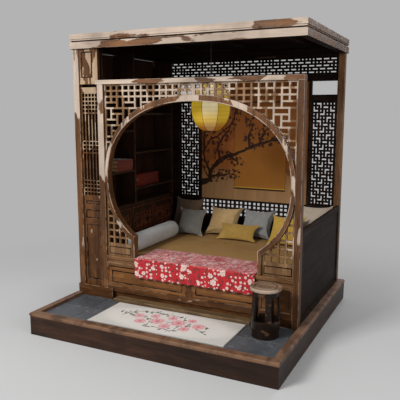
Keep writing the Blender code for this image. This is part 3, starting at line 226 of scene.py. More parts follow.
class Effects:
    """Shader node groups that several finishes share, each built once."""

    VALUE = "NodeSocketFloat"
    VECTOR = "NodeSocketVector"

    def __init__(self) -> None:
        """Build every group."""
        self.grain = self._grain()
        self.patches = self._patches()
        self.thread = self._thread()
        self.blossom = self._blossom()
        self.leaf = self._leaf()
        self.stroke = self._stroke()

    def _start(self, name: str, values: tuple[str, ...], vectors: tuple[str, ...],
               results: tuple[str, ...]) -> tuple[Graph, Outputs, bpy.types.NodeInputs]:
        """Open a new group.

        Args:
            name: the group's name.
            values: names of its number inputs.
            vectors: names of its vector inputs.
            results: names of its number outputs.

        Returns:
            The group's graph, its inputs and its outputs.
        """
        tree = bpy.data.node_groups.new(name, "ShaderNodeTree")
        for names, way, kind in ((vectors, "INPUT", self.VECTOR), (values, "INPUT", self.VALUE),
                                 (results, "OUTPUT", self.VALUE)):
            for item in names:
                tree.interface.new_socket(name=item, in_out=way, socket_type=kind)
        return Graph(tree), tree.nodes.new("NodeGroupInput").outputs, tree.nodes.new("NodeGroupOutput").inputs

    def _grain(self) -> Tree:
        """Wood grain: broad figure and fine pores, on a place squeezed along the board."""
        g, given, result = self._start("wood_grain", (), ("Vector",), ("Figure", "Pores"))
        broad = g.noise(given["Vector"], 7.0, 4.0, 0.6, 1.4)
        streak = g.noise(given["Vector"], 55.0, 3.0, 0.6, 0.4)
        figure = g.math("ADD", g.times(broad, 0.62), g.times(streak, 0.38))
        g.feed(result["Figure"], g.step(figure, 0.32, 0.68))
        g.feed(result["Pores"], g.step(g.noise(given["Vector"], 190.0, 1.0), 0.56, 0.72))
        return g.tree

    def _patches(self) -> Tree:
        """Hard-edged patches and their rims: painted patches of light on the woods, stains on the back board
        and rubbed spots on lacquer.
        """
        g, given, result = self._start("hard_edged_patches", ("Scale", "Level"), ("Vector",), ("Mask", "Rim"))
        broad = g.noise(given["Vector"], given["Scale"], 1.6, 0.45, 0.35)
        fine = g.noise(given["Vector"], g.times(given["Scale"], 11.0), 2.0)
        value = g.math("ADD", broad, g.times(g.math("SUBTRACT", fine, 0.5), 0.06))
        above = g.math("SUBTRACT", value, given["Level"])
        g.feed(result["Mask"], g.step(above, -0.006, 0.006))
        g.feed(result["Rim"], g.step(g.math("ABSOLUTE", above), 0.0, 0.022, 1.0, 0.0))
        return g.tree

    def _thread(self) -> Tree:
        """Plain weave of crossing threads, with slubs."""
        g, given, result = self._start("plain_weave", ("Count",), ("Vector",), ("Thread", "Slub"))
        place = g.split(g.scaled(given["Vector"], g.times(given["Count"], TURN)))
        warp = g.math("SINE", place[0])
        weft = g.math("SINE", g.math("ADD", place[1], place[2]))
        g.feed(result["Thread"], g.plus(g.times(warp, weft), 0.5, 0.5))
        g.feed(result["Slub"], g.noise(given["Vector"], 26.0, 4.0, 0.65))
        return g.tree

    def _blossom(self) -> Tree:
        """A round blossom of two rings of ruffled petals about the origin."""
        g, given, result = self._start("blossom", ("Radius", "Turn", "Petals"), ("Vector",),
                                       ("Mask", "Shade", "Heart"))
        place = g.split(given["Vector"])
        out = g.math("DIVIDE", g.vector("LENGTH", g.joined(place[0], place[1]), out="Value"), given["Radius"])
        angle = g.math("ADD", g.math("ARCTAN2", place[1], place[0]), given["Turn"])
        beat = g.times(angle, g.times(given["Petals"], 0.5))
        ruffle = g.noise(given["Vector"], g.math("DIVIDE", 3.2, given["Radius"]), 3.0, 0.6)
        outer = g.math("POWER", g.math("ABSOLUTE", g.math("COSINE", beat)), 0.5)
        inner = g.math("POWER", g.math("ABSOLUTE", g.math("SINE", beat)), 0.5)
        edge = g.plus(outer, 0.3, g.plus(ruffle, 0.56, 0.38))
        rim = g.plus(inner, 0.18, g.plus(ruffle, 0.3, 0.22))
        ring = g.math("DIVIDE", out, rim)
        g.feed(result["Mask"], g.step(g.math("DIVIDE", out, edge), 0.9, 1.0, 1.0, 0.0))
        back = g.times(g.step(ring, 1.0, 1.9, 0.4, 1.0), g.plus(outer, 0.65, 0.35))
        front = g.times(g.step(ring, 0.25, 0.95), g.plus(inner, 0.7, 0.2))
        front = g.times(front, g.step(ring, 1.0, 1.06, 1.0, 0.0))
        g.feed(result["Shade"], g.math("MAXIMUM", back, front))
        g.feed(result["Heart"], g.step(out, 0.08, 0.14, 1.0, 0.0))
        return g.tree

    def _leaf(self) -> Tree:
        """A pointed leaf that starts at the origin."""
        g, given, result = self._start("leaf", ("Length", "Width", "Turn"), ("Vector",), ("Mask", "Vein"))
        place = g.split(given["Vector"])
        along, across = g.math("COSINE", given["Turn"]), g.math("SINE", given["Turn"])
        x = g.plus(place[0], along, g.times(place[1], across))
        y = g.math("SUBTRACT", g.times(place[1], along), g.times(place[0], across))
        share = g.math("DIVIDE", x, given["Length"])
        belly = g.times(g.times(share, g.math("SUBTRACT", 1.0, share)), 4.0)
        side = g.math("ABSOLUTE", y)
        g.feed(result["Mask"], g.step(g.math("SUBTRACT", g.times(belly, given["Width"]), side), 0.0, 0.0015))
        g.feed(result["Vein"], g.step(side, 0.0005, 0.0018, 1.0, 0.0))
        return g.tree

    def _stroke(self) -> Tree:
        """A tapering brush stroke from one point to another."""
        g, given, result = self._start("stroke", ("Width", "Taper"), ("Vector", "Start", "End"), ("Mask",))
        from_start = g.vector("SUBTRACT", given["Vector"], given["Start"])
        span = g.vector("SUBTRACT", given["End"], given["Start"])
        share = g.math("DIVIDE", g.vector("DOT_PRODUCT", from_start, span, out="Value"),
                       g.vector("DOT_PRODUCT", span, span, out="Value"), clamp=True)
        off = g.vector("LENGTH", g.vector("SUBTRACT", from_start, g.scaled(span, share)), out="Value")
        width = g.times(given["Width"], g.math("SUBTRACT", 1.0, g.times(share, given["Taper"])))
        g.feed(result["Mask"], g.step(g.math("DIVIDE", off, width), 0.8, 1.0, 1.0, 0.0))
        return g.tree


EFFECTS = Effects()


class Surface(Graph):
    """A new material's node tree, around its shader."""

    def __init__(self, name: str, gloss: float = 0.5) -> None:
        """Open a material.

        Args:
            name: the material's name.
            gloss: level of its mirror light.
        """
        self.material = bpy.data.materials.new(name)
        self.material.use_nodes = True
        super().__init__(self.material.node_tree)
        self.shader = self.tree.nodes["Principled BSDF"].inputs
        self.shader["Specular IOR Level"].default_value = gloss

    def mapped(self, scale: tuple = (1, 1, 1), location: tuple = (0, 0, 0),
               rotation: tuple = (0, 0, 0)) -> Socket:
        """Object coordinates, scaled, turned and shifted along each axis."""
        return self.fed(self.add("Mapping"), Vector=self.add("TexCoord").outputs["Object"], Scale=scale,
                        Location=location, Rotation=rotation)[0]

    def facing(self) -> Outputs:
        """The x, y and z of the way the surface faces."""
        return self.split(self.add("TexCoord").outputs["Normal"])

    def scatter(self, place: Socket, shift: tuple, count: float,
                spread: float) -> tuple[Socket, Outputs, Socket]:
        """Spots strewn over a flat place, one to a cell.

        Args:
            place: the place.
            shift: how far the cells are moved.
            count: cells in a metre.
            spread: how far the spots leave a square grid.

        Returns:
            The place about the nearest spot, that spot's three chances and the spot.
        """
        moved = self.vector("ADD", place, shift)
        cell = self.fed(self.add("TexVoronoi", voronoi_dimensions="2D"), Vector=moved, Scale=count,
                        Randomness=spread)
        return self.vector("SUBTRACT", moved, cell["Position"]), self.split(cell["Color"]), cell["Position"]

    def wandering(self, flat: Socket, scale: float, detail: float, reach: tuple) -> Socket:
        """A flat place bent as a hand-drawn line is, as far as the reach along each axis."""
        bend = self.math("SUBTRACT", self.noise(flat, scale, detail), 0.5)
        return self.vector("ADD", flat, self.scaled(reach, bend))

    def stroke(self, place: Socket, start: Point, end: Point, width: float, taper: float) -> Socket:
        """The mask of a brush stroke, half as wide as the width and thinner by the taper at its end."""
        return self.use(EFFECTS.stroke, Vector=place, Start=(*start, 0.0), End=(*end, 0.0), Width=width,
                        Taper=taper)["Mask"]

    def close(self, colour: Socket, rough: Socket, height: Socket, depth: float, strength: float) -> Material:
        """Give the shader its colour, roughness and relief.

        Args:
            colour: the base colour.
            rough: the roughness.
            height: the relief, from 0 to 1.
            depth: its depth in metres.
            strength: share of the relief that shows.

        Returns:
            The material.
        """
        self.feed(self.shader["Base Color"], colour)
        self.feed(self.shader["Roughness"], rough)
        bump = self.fed(self.add("Bump"), Strength=strength, Distance=depth, Height=height)
        self.feed(self.shader["Normal"], bump[0])
        return self.material


@dataclass(frozen=True)
class Wood:
    """A waxed wood with painted patches of light, most of all high up and on faces that look to the front,
    with worn eased edges, and with a paler top along a bead if it has one, which is painted highlight with
    scuffs.
    """

    name: str
    dark: Colour
    light: Colour
    # pale colour of the painted patches of light, the worn eased edges and a bead's painted highlight
    worn: Colour
    # level at which the painted patches of light begin; a higher level gives fewer
    level: float
    scale: float = 6.0
    edge: float = 0.42
    roughness: float = 0.42
    # Painted light and shade: the patches thin out from high_z down to low_z and on faces that turn from the
    # front
    low_z: float = 0.6
    high_z: float = 1.7
    low_shade_lift: float = 0.13
    side_shade_lift: float = 0.22
    ragged: float = 0.045
    gloss: float = 0.22
    relief: float = 0.0012
    tone_shift: tuple = (3.1, 1.7, 0.4)
    # above this height the top is paler: painted highlight with scuffs
    bead_z: float | None = None
    bead_fade: float = 0.006

    @cache
    def material(self, axis: Axis, rubbed: bool = False) -> Material:
        """The wood along an axis.

        Args:
            axis: direction of the grain.
            rubbed: paler, for the eased edges.

        Returns:
            The material.
        """
        g = Surface(f"{self.name}_{axis.name.lower()}{'_edge' if rubbed else ''}", self.gloss)
        place = g.mapped()
        board = g.add("Attribute", attribute_name=BOARD).outputs["Vector"]
        grain = g.use(EFFECTS.grain, Vector=g.vector("ADD", g.mapped(axis.squeezed(GRAIN_SQUEEZE)), board))
        figure, pores = grain["Figure"], grain["Pores"]
        along = g.vector("ADD", g.mapped(axis.squeezed(PATCH_SQUEEZE)), board)
        # Painted light: hard-edged pale patches, fewer low down and on faces that turn from the front, as
        # painted shade there
        level = g.step(g.split(place)[2], self.low_z, self.high_z, self.level + self.low_shade_lift, self.level)
        level = g.math("ADD", level, g.step(g.facing()[1], -0.6, 0.2, 0.0, self.side_shade_lift))
        level = g.math("ADD", level, g.step(figure, 0.0, 1.0, -self.ragged, self.ragged))
        light_patch = g.use(EFFECTS.patches, Vector=along, Scale=self.scale, Level=level)
        base = g.mix(figure, self.dark, self.light)
        tone = g.noise(g.vector("ADD", along, self.tone_shift), self.scale * 1.3, 1.5)
        base = g.mix(g.times(g.step(tone, 0.47, 0.53), 0.45), base, self.dark)
        base = g.mix(g.times(pores, 0.5), base, shade(self.dark, 0.4))
        # The pale colour of the painted patches of light and of the worn edges.
        pale = g.mix(figure, shade(self.worn, 0.7), self.worn)
        mask = light_patch["Mask"]
        if rubbed:
            bare = g.step(g.noise(place, 14.0, 3.0), self.edge, self.edge + 0.1, 0.0, 0.7)
            mask = g.math("MAXIMUM", mask, bare)
        base = g.mix(mask, base, pale)
        # A darker rim round the painted patches of light.
        base = g.mix(g.times(light_patch["Rim"], 0.22), base, self.dark)
        grime = g.step(g.noise(place, 2.3, 3.0, 0.6), 0.45, 0.75)
        base = g.mix(g.times(grime, 0.4), base, shade(self.dark, 0.6))
        rough = g.plus(mask, 0.22, g.plus(figure, 0.12, self.roughness))
        height = g.math("SUBTRACT", g.times(figure, 0.35), g.times(mask, 0.5))
        height = g.math("SUBTRACT", height, g.times(pores, 0.35))
        # Painted highlight with scuffs: the top of a bead in the pale colour.
        if self.bead_z:
            top = g.step(g.split(place)[2], self.bead_z, self.bead_z + self.bead_fade)
            scuff = g.step(g.noise(place, 9.0, 4.0, 0.6), 0.36, 0.56, 0.35, 1.0)
            base = g.mix(g.times(top, scuff), base, self.worn)
        return g.close(base, rough, height, self.relief, 0.6)


@dataclass(frozen=True)
class Slate:
    """Blue-grey floor tiles with pale scuffs and grout."""

    name: str = "slate_tiles"
    dark: Colour = (0.028, 0.031, 0.036)
    light: Colour = (0.098, 0.106, 0.118)
    scuff: Colour = (0.3, 0.31, 0.32)
    grout: Colour = (0.24, 0.235, 0.225)
    grout_z: float = 0.1655
    grout_fade: float = 0.0006
    pitch: Point = (0.2962, 0.30185)
    origin: Point = (-1.0337, -0.9887)
    relief: float = 0.0025

    @cache
    def material(self) -> Material:
        """The tiles' material."""
        g = Surface(self.name)
        place = g.mapped()
        part = g.split(place)
        tile = [g.math("FLOOR", g.math("DIVIDE", g.math("SUBTRACT", at, start), pitch))
                for at, start, pitch in zip(part, self.origin, self.pitch)]
        tint = g.fed(g.add("TexWhiteNoise", noise_dimensions="2D"), Vector=g.joined(*tile))["Value"]
        cloud = g.noise(place, 6.0, 5.0, 0.62, 0.8)
        base = g.mix(g.plus(tint, 0.45, g.times(cloud, 0.75), clamp=True), self.dark, self.light)
        worn = g.step(g.noise(place, 15.0, 5.0, 0.68), 0.54, 0.74, 0.0, 0.45)
        base = g.mix(worn, base, self.scuff)
        lines = g.step(g.noise(g.mapped((1, 0.15, 1), rotation=(0, 0, 0.6)), 60.0, 3.0), 0.62, 0.7)
        base = g.mix(g.times(lines, 0.3), base, self.scuff)
        sunk = g.step(part[2], self.grout_z - self.grout_fade, self.grout_z + self.grout_fade, 1.0, 0.0)
        base = g.mix(sunk, base, self.grout)
        height = g.plus(g.noise(place, 42.0, 4.0), 0.5, cloud)
        return g.close(base, g.plus(cloud, 0.35, 0.34), height, self.relief, 0.5)


@dataclass(frozen=True)
class Cloth:
    """A woven cloth with slubs and a soft sheen."""

    name: str
    dark: Colour
    light: Colour
    count: float = 330.0
    blotch: float = 0.25
    sheen: float = 0.25
    relief: float = 0.0008

    def figured(self, g: Surface, ground: Socket) -> Socket:
        """The ground with its woven figure, of which plain cloth has none."""
        return ground

    @cache
    def material(self) -> Material:
        """The cloth's material."""
        g = Surface(self.name, 0.12)
        place = g.mapped()
        weave = g.use(EFFECTS.thread, Vector=place, Count=self.count)
        thread, slub = weave["Thread"], weave["Slub"]
        base = g.mix(g.plus(thread, 0.4, g.times(slub, 0.75), clamp=True), self.dark, self.light)
        faded = g.step(g.noise(place, 5.0, 3.0, 0.6), 0.48, 0.68)
        bleached = tuple(min(1.0, part * 1.35 + 0.02) for part in self.light)
        base = g.mix(g.times(faded, self.blotch), base, bleached)
        g.shader["Sheen Weight"].default_value = self.sheen
        height = g.plus(slub, 0.8, g.times(thread, 0.5))
        return g.close(self.figured(g, base), g.plus(slub, 0.2, 0.74), height, self.relief, 0.6)


@dataclass(frozen=True)
class Brocade(Cloth):
    """Figured cloth with a close diamond pattern round a lying bolster."""

    axis: Point = (-0.6, 0.66)
    radius: float = 0.085
    pitch: float = 0.036
    line: Point = (0.0022, 0.004)
    flower: Point = (0.0105, 0.013)
    figure: Colour = (0.72, 0.725, 0.7)

    def figured(self, g: Surface, ground: Socket) -> Socket:
        """The ground with lines that cross in diamonds, each with a small flower.

        Args:
            g: the material's graph.
            ground: the colour under them.

        Returns:
            The colour.
        """
        part = g.split(g.mapped(location=(-self.axis[0], 0.0, -self.axis[1])))
        around = g.times(g.math("ARCTAN2", part[2], part[0]), self.radius)
        off = [g.math("PINGPONG", g.math(way, around, part[1]), self.pitch / 2)
               for way in ("ADD", "SUBTRACT")]
        near = g.math("MINIMUM", *off)
        figure = g.math("MAXIMUM", g.step(near, *self.line, 1.0, 0.0), g.step(near, *self.flower))
        return g.mix(g.times(figure, 0.75), ground, self.figure)


@dataclass(frozen=True)
class FlowerCloth:
    """Red coverlet cloth strewn with pale blossoms, with a painted sheen of blush on its top, on a map in
    metres.

    A row of leaves holds cells in a metre, leaf length and shift. A row of blooms holds cells in a metre,
    least radius, its spread, petals and shift.
    """

    name: str = "red_flower_cloth"
    dark: Colour = (0.32, 0.007, 0.013)
    light: Colour = (0.6, 0.024, 0.032)
    cream: Colour = (0.8, 0.71, 0.64)
    rose: Colour = (0.66, 0.36, 0.33)
    # blush of the painted sheen on the top
    blush: Colour = (0.8, 0.3, 0.28)
    gold: Colour = (0.55, 0.3, 0.1)
    leaf: Colour = (0.16, 0.03, 0.026)
    leaves: tuple = ((15.0, 0.042, 0.31), (19.0, 0.034, 0.77))
    leaf_width: float = 0.008
    blooms: tuple = ((26.0, 0.006, 0.009, 5.0, 0.0), (11.0, 0.014, 0.018, 6.0, 0.11))
    bunch_shift: Point = (2.3, 1.1)
    count: float = 420.0
    sheen: float = 0.3
    relief: float = 0.0008

    @cache
    def material(self) -> Material:
        """The cloth's material."""
        g = Surface(self.name, 0.15)
        place = g.add("UVMap", uv_map=CLOTH_MAP).outputs[0]
        thread = g.use(EFFECTS.thread, Vector=place, Count=self.count)["Thread"]
        damask = g.noise(place, 22.0, 3.0, 0.55, 1.5)
        base = g.mix(g.plus(thread, 0.25, g.times(damask, 0.9), clamp=True), self.dark, self.light)
        up = g.step(g.facing()[2], 0.4, 0.9)
        # Painted sheen: blush in blotches on faces that look up.
        top_sheen = g.step(g.noise(place, 5.0, 3.0, 0.6), 0.38, 0.62, 0.0, 0.7)
        base = g.mix(g.times(top_sheen, up), base, self.blush)
        shown = g.step(up, 0.0, 1.0, 1.0, 0.6)
        for count, length, shift in self.leaves:
            local, chance, _ = g.scatter(place, (shift, shift, 0.0), count, 0.9)
            blade = g.use(EFFECTS.leaf, Vector=local, Length=length, Width=self.leaf_width,
                          Turn=g.times(chance[0], TURN))
            base = g.mix(blade["Mask"], base, self.leaf)
        for count, least, spread, petals, shift in self.blooms:
            aside = shift * 0.5
            local, chance, spot = g.scatter(place, (shift, aside, 0.0), count, 0.65)
            bloom = g.use(EFFECTS.blossom, Vector=local, Radius=g.plus(chance[0], spread, least),
                          Turn=g.times(chance[1], TURN), Petals=petals)
            petal = g.mix(bloom["Shade"], self.rose, self.cream)
            spot = g.vector("SUBTRACT", spot, (shift - self.bunch_shift[0], aside - self.bunch_shift[1], 0.0))
            kept = g.times(g.math("GREATER_THAN", g.noise(spot, 7.5, 1.5), 0.45), shown)
            base = g.mix(g.times(bloom["Mask"], kept), base, petal)
            base = g.mix(g.times(bloom["Heart"], kept), base, self.gold)
        g.shader["Sheen Weight"].default_value = self.sheen
        height = g.plus(damask, 0.8, g.times(thread, 0.4))
        return g.close(base, g.plus(damask, 0.25, 0.55), height, self.relief, 0.6)


@dataclass(frozen=True)
class RugPile:
    """Cream rug, paler in an ellipse that is a painted pool of light, with a spray of pink blossoms and
    leaves.

    A blossom holds its place, radius and turn. A row of leaves holds cells in a metre and shift.
    """

    name: str = "flower_rug"
    centre: tuple = (0.0215, -0.6965, 0.0)
    size: Point = (1.223, 0.475)
    field: Colour = (0.74, 0.71, 0.655)
    # cream inside the ellipse and darker outside it: a painted pool of light and the shade round it
    corner: Colour = (0.58, 0.555, 0.505)
    fleck: Colour = (0.86, 0.84, 0.79)
    pink: Colour = (0.6, 0.07, 0.12)
    blush: Colour = (0.88, 0.6, 0.58)
    heart: Colour = (0.44, 0.03, 0.06)
    leaf: Colour = (0.05, 0.058, 0.036)
    leaf_pale: Colour = (0.2, 0.205, 0.15)
    stem: Colour = (0.085, 0.07, 0.052)
    blossoms: tuple = (
        (-0.27, 0.03, 0.058, 0.2), (-0.205, -0.07, 0.066, 1.1), (-0.14, 0.075, 0.056, 2.3),
        (-0.07, -0.015, 0.08, 0.7), (0.015, 0.095, 0.058, 1.7), (0.03, -0.085, 0.066, 2.9),
        (0.105, 0.02, 0.084, 0.5), (0.19, 0.105, 0.052, 1.4), (0.2, -0.07, 0.062, 0.9),
        (0.285, 0.02, 0.07, 2.0),
    )
    stems: tuple = (
        ((-0.43, 0.06), (-0.3, 0.02)), ((-0.3, 0.02), (-0.05, 0.00)), ((-0.05, 0.00), (0.24, 0.01)),
        ((0.24, 0.01), (0.38, 0.03)), ((-0.4, 0.02), (-0.33, 0.11)), ((-0.33, 0.11), (-0.2, 0.15)),
        ((-0.2, 0.15), (0.08, 0.15)), ((0.1, 0.15), (0.14, 0.03)), ((0.14, 0.03), (0.13, -0.12)),
        ((0.27, -0.02), (0.37, -0.08)), ((-0.05, -0.13), (0.11, -0.14)), ((-0.14, -0.01), (-0.11, -0.12)),
    )
    stem_width: float = 0.0045
    reach: float = 0.042
    leaves: tuple = ((17.0, 0.0), (21.0, 0.37))
    leaf_size: Point = (0.04, 0.012)
    bloom_share: float = 0.92
    petals: float = 6.0
    waver: tuple = (0.012, 0.012, 0.0)
    sheen: float = 0.3
    relief: float = 0.0022

    @cache
    def material(self) -> Material:
        """The rug's material."""
        g = Surface(self.name, 0.1)
        part = g.split(g.mapped(location=tuple(-at for at in self.centre)))
        flat = g.joined(part[0], part[1])
        drawn = g.wandering(flat, 22.0, 2.0, self.waver)
        across = g.vector("MULTIPLY", drawn, (2 / self.size[0], 2 / self.size[1], 0.0))
        # Painted pool of light: paler in an ellipse, darker outside it.
        light_pool = g.step(g.vector("LENGTH", across, out="Value"), 0.8, 1.1)
        wool = g.noise(flat, 70.0, 4.0, 0.7)
        ground = g.mix(light_pool, self.field, self.corner)
        ground = g.mix(g.times(g.step(wool, 0.35, 0.7), 0.22), ground, self.fleck)
        near = 0.0
        for start, end in self.stems:
            ground = g.mix(g.stroke(drawn, start, end, self.stem_width, 0.4), ground, self.stem)
            near = g.math("MAXIMUM", near, g.stroke(drawn, start, end, self.reach, 0.0))
        for count, shift in self.leaves:
            local, chance, _ = g.scatter(drawn, (shift, shift * 0.6, 0.0), count, 0.85)
            blade = g.use(EFFECTS.leaf, Vector=local, Length=self.leaf_size[0], Width=self.leaf_size[1],
                          Turn=g.times(chance[0], TURN))
            kept = g.times(near, g.math("GREATER_THAN", chance[1], 0.25))
            green = g.mix(blade["Vein"], self.leaf, self.leaf_pale)
            ground = g.mix(g.times(blade["Mask"], kept), ground, green)
        for x, y, radius, turn in self.blossoms:
            bloom = g.use(EFFECTS.blossom, Vector=g.vector("SUBTRACT", drawn, (x, y, 0.0)),
                          Radius=radius * self.bloom_share, Turn=turn, Petals=self.petals)
            ground = g.mix(bloom["Mask"], ground, g.mix(bloom["Shade"], self.pink, self.blush))
            ground = g.mix(bloom["Heart"], ground, self.heart)
        faded = g.step(g.noise(flat, 9.0, 4.0, 0.65), 0.46, 0.7)
        ground = g.mix(g.times(faded, 0.16), ground, self.field)
        g.shader["Sheen Weight"].default_value = self.sheen
        tuft = g.plus(g.noise(flat, 420.0, 1.0), 0.6, wool)
        return g.close(ground, g.plus(wool, 0.15, 0.8), tuft, self.relief, 0.7)


@dataclass(frozen=True)
class Branch:
    """A plain plum branch, drawn across the back board and the scroll before it, in x and z.

    A row of blooms holds cells in a metre, least radius, its spread and shift.
    """

    bark: Colour = (0.008, 0.005, 0.004)
    petal: Colour = (0.014, 0.006, 0.004)
    petal_pale: Colour = (0.062, 0.018, 0.01)
    trunk: tuple = (
        (-0.48, 1.1), (-0.385, 1.13), (-0.375, 1.21), (-0.33, 1.285), (-0.26, 1.355), (-0.155, 1.4),
        (-0.045, 1.43), (0.08, 1.495), (0.19, 1.54), (0.285, 1.56), (0.38, 1.58),
    )
    limbs: tuple = (
        ((-0.375, 1.21), (-0.44, 1.335), (-0.455, 1.45), (-0.38, 1.56), (-0.265, 1.62),
         (-0.155, 1.72)),
        ((-0.26, 1.355), (-0.285, 1.475), (-0.235, 1.58), (-0.14, 1.71), (-0.06, 1.9)),
        ((0.08, 1.495), (0.062, 1.605), (0.105, 1.7), (0.075, 1.78)),
        ((0.19, 1.54), (0.225, 1.635), (0.28, 1.705)),
        ((-0.35, 1.165), (-0.26, 1.19), (-0.165, 1.205), (-0.075, 1.195)),
        ((-0.155, 1.4), (-0.095, 1.36), (-0.05, 1.34)),
        ((-0.455, 1.45), (-0.445, 1.64), (-0.4, 1.85)),
    )
    girth: Point = (0.042, 0.011)
    limb_girth: Point = (0.015, 0.006)
    thinning: float = 0.6
    fork: float = 0.85
    shoot: float = 0.075
    shoot_width: float = 0.0042
    spread: float = 0.066
    blooms: tuple = ((24.0, 0.01, 0.011, 0.0), (19.0, 0.013, 0.014, 0.37))
    petals: float = 5.0
    waver: tuple = (0.045, -0.0315, 0.0)

    def strokes(self) -> list[tuple[Vector, Vector, float]]:
        """Start, end and width of the strokes of the trunk and its limbs."""
        found = []
        paths = [(self.trunk, self.girth)] + [(limb, self.limb_girth) for limb in self.limbs]
        for path, (thick, thin) in paths:
            for n, (start, end) in enumerate(zip(path, path[1:])):
                share = (n / (len(path) - 1)) ** self.thinning
                found.append((Vector(start), Vector(end), thick + (thin - thick) * share))
        return found

    def draw(self, g: Surface, base: Socket, flat: Socket) -> Socket:
        """The branch laid over a colour.

        Args:
            g: the material's graph.
            base: colour under the branch.
            flat: place on the wall, as x and z.

        Returns:
            The colour with the branch on the faces that look at the gate.
        """
        drawn = g.wandering(flat, 11.0, 3.0, self.waver)
        front = g.step(g.facing()[1], -0.6, -0.2, 0.94, 0.0)
        mask, near = 0.0, 0.0
        for n, (start, end, width) in enumerate(self.strokes()):
            mask = g.math("MAXIMUM", mask, g.stroke(drawn, start, end, width, 0.2))
            if width > self.limb_girth[0]:
                continue
            near = g.math("MAXIMUM", near, g.stroke(drawn, start, end, self.spread, 0.0))
            root = start.lerp(end, 0.6)
            along = Matrix.Rotation(self.fork * (1 - 2 * (n % 2)), 2) @ (end - start).normalized()
            tip = root + along * self.shoot * (0.7 + 0.3 * (n % 3))
            mask = g.math("MAXIMUM", mask, g.stroke(drawn, root, tip, self.shoot_width, 0.6))
        base = g.mix(g.times(mask, front), base, self.bark)
        near = g.times(near, front)
        for count, least, spread, shift in self.blooms:
            local, chance, _ = g.scatter(drawn, (shift, shift * 0.6, 0.0), count, 0.85)
            bloom = g.use(EFFECTS.blossom, Vector=local, Radius=g.plus(chance[0], spread, least),
                          Turn=g.times(chance[1], TURN), Petals=self.petals)
            kept = g.times(g.math("GREATER_THAN", chance[2], 0.45), near)
            petal = g.mix(bloom["Shade"], self.petal, self.petal_pale)
            base = g.mix(g.times(bloom["Mask"], kept), base, petal)
        return base


@dataclass(frozen=True)
class PaintedBoard:
    """Warm back board, paler at its foot, with the branch painted on it."""

    name: str = "back_board"
    dark: Colour = (0.112, 0.029, 0.007)
    light: Colour = (0.295, 0.1, 0.023)
    pale: Colour = (0.37, 0.225, 0.105)
    fade: Point = (1.24, 1.5)
    branch: Branch = Branch()
    relief: float = 0.0008

    @cache
    def material(self) -> Material:
        """The board's material."""
        g = Surface(self.name, 0.06)
        place = g.mapped()
        part = g.split(place)
        flat = g.joined(part[0], part[2])
        figure = g.use(EFFECTS.grain, Vector=g.mapped(Axis.Z.squeezed(GRAIN_SQUEEZE)))["Figure"]
        cloud = g.noise(flat, 3.0, 4.0, 0.6)
        base = g.mix(g.plus(figure, 0.35, g.times(cloud, 0.8), clamp=True), self.dark, self.light)
        foot = g.step(g.plus(cloud, 0.3, part[2]), *self.fade, 0.75, 0.0)
        base = g.mix(foot, base, g.mix(figure, shade(self.pale, 0.75), self.pale))
        stain = g.use(EFFECTS.patches, Vector=place, Scale=3.5, Level=0.6)
        base = g.mix(g.times(stain["Mask"], 0.45), base, self.dark)
        base = g.mix(g.step(g.facing()[1], -0.2, 0.2, 0.0, 0.8), base, self.dark)
        base = self.branch.draw(g, base, flat)
        return g.close(base, g.plus(cloud, 0.25, 0.5), figure, self.relief, 0.5)


@dataclass(frozen=True)
class Paper:
    """Aged paper with fibres and brown specks; where a branch is drawn it is darker towards its top, which is
    painted shade.
    """

    name: str
    dark: Colour
    light: Colour
    branch: Branch | None = None
    # darker colour towards the top: painted shade
    deep: Colour = (0.15, 0.034, 0.006)
    top_shade_z: Point = (1.15, 1.8)
    relief: float = 0.0004

    @cache
    def material(self) -> Material:
        """The paper's material."""
        g = Surface(self.name, 0.2)
        place = g.mapped()
        cloud = g.noise(place, 4.0, 5.0, 0.6)
        fibre = g.noise(g.mapped((0.15, 1, 1)), 260.0, 2.0)
        base = g.mix(g.plus(fibre, 0.35, g.times(cloud, 0.8), clamp=True), self.dark, self.light)
        specks = g.step(g.noise(place, 38.0, 2.0), 0.68, 0.76)
        base = g.mix(g.times(specks, 0.3), base, shade(self.dark, 0.45))
        if self.branch:
            part = g.split(place)
            # Painted shade: darker towards the top.
            base = g.mix(g.step(part[2], *self.top_shade_z, 0.0, 0.65), base, self.deep)
            base = self.branch.draw(g, base, g.joined(part[0], part[2]))
        return g.close(base, g.plus(fibre, 0.15, 0.72), fibre, self.relief, 0.5)


@dataclass(frozen=True)
class Lacquer:
    """Old lacquer with fine crackle and rubbed spots."""

    name: str
    dark: Colour
    light: Colour
    rubbed: Colour
    roughness: float = 0.24
    gloss: float = 0.2
    relief: float = 0.0005

    @cache
    def material(self) -> Material:
        """The lacquer's material."""
        g = Surface(self.name, self.gloss)
        place = g.mapped()
        cloud = g.noise(place, 8.0, 4.0, 0.6)
        worn = g.use(EFFECTS.patches, Vector=place, Scale=14.0, Level=0.66)["Mask"]
        base = g.mix(g.times(worn, 0.7), g.mix(cloud, self.dark, self.light), self.rubbed)
        rough = g.plus(worn, 0.3, g.plus(cloud, 0.15, self.roughness))
        return g.close(base, rough, g.noise(place, 120.0, 3.0, 0.6, 1.0), self.relief, 0.4)


@dataclass(frozen=True)
class Iron:
    """Blackened iron with a little rust."""

    name: str = "black_iron"
    dark: Colour = (0.02, 0.02, 0.022)
    light: Colour = (0.07, 0.068, 0.066)
    rust: Colour = (0.1, 0.045, 0.022)
    relief: float = 0.0006

    @cache
    def material(self) -> Material:
        """The iron's material."""
        g = Surface(self.name)
        place = g.mapped()
        cloud = g.noise(place, 60.0, 4.0, 0.6)
        rust = g.step(g.noise(place, 35.0, 3.0), 0.58, 0.7)
        base = g.mix(rust, g.mix(cloud, self.dark, self.light), self.rust)
        g.feed(g.shader["Metallic"], g.plus(rust, -0.7, 0.9))
        return g.close(base, g.plus(cloud, 0.35, 0.35), cloud, self.relief, 0.5)


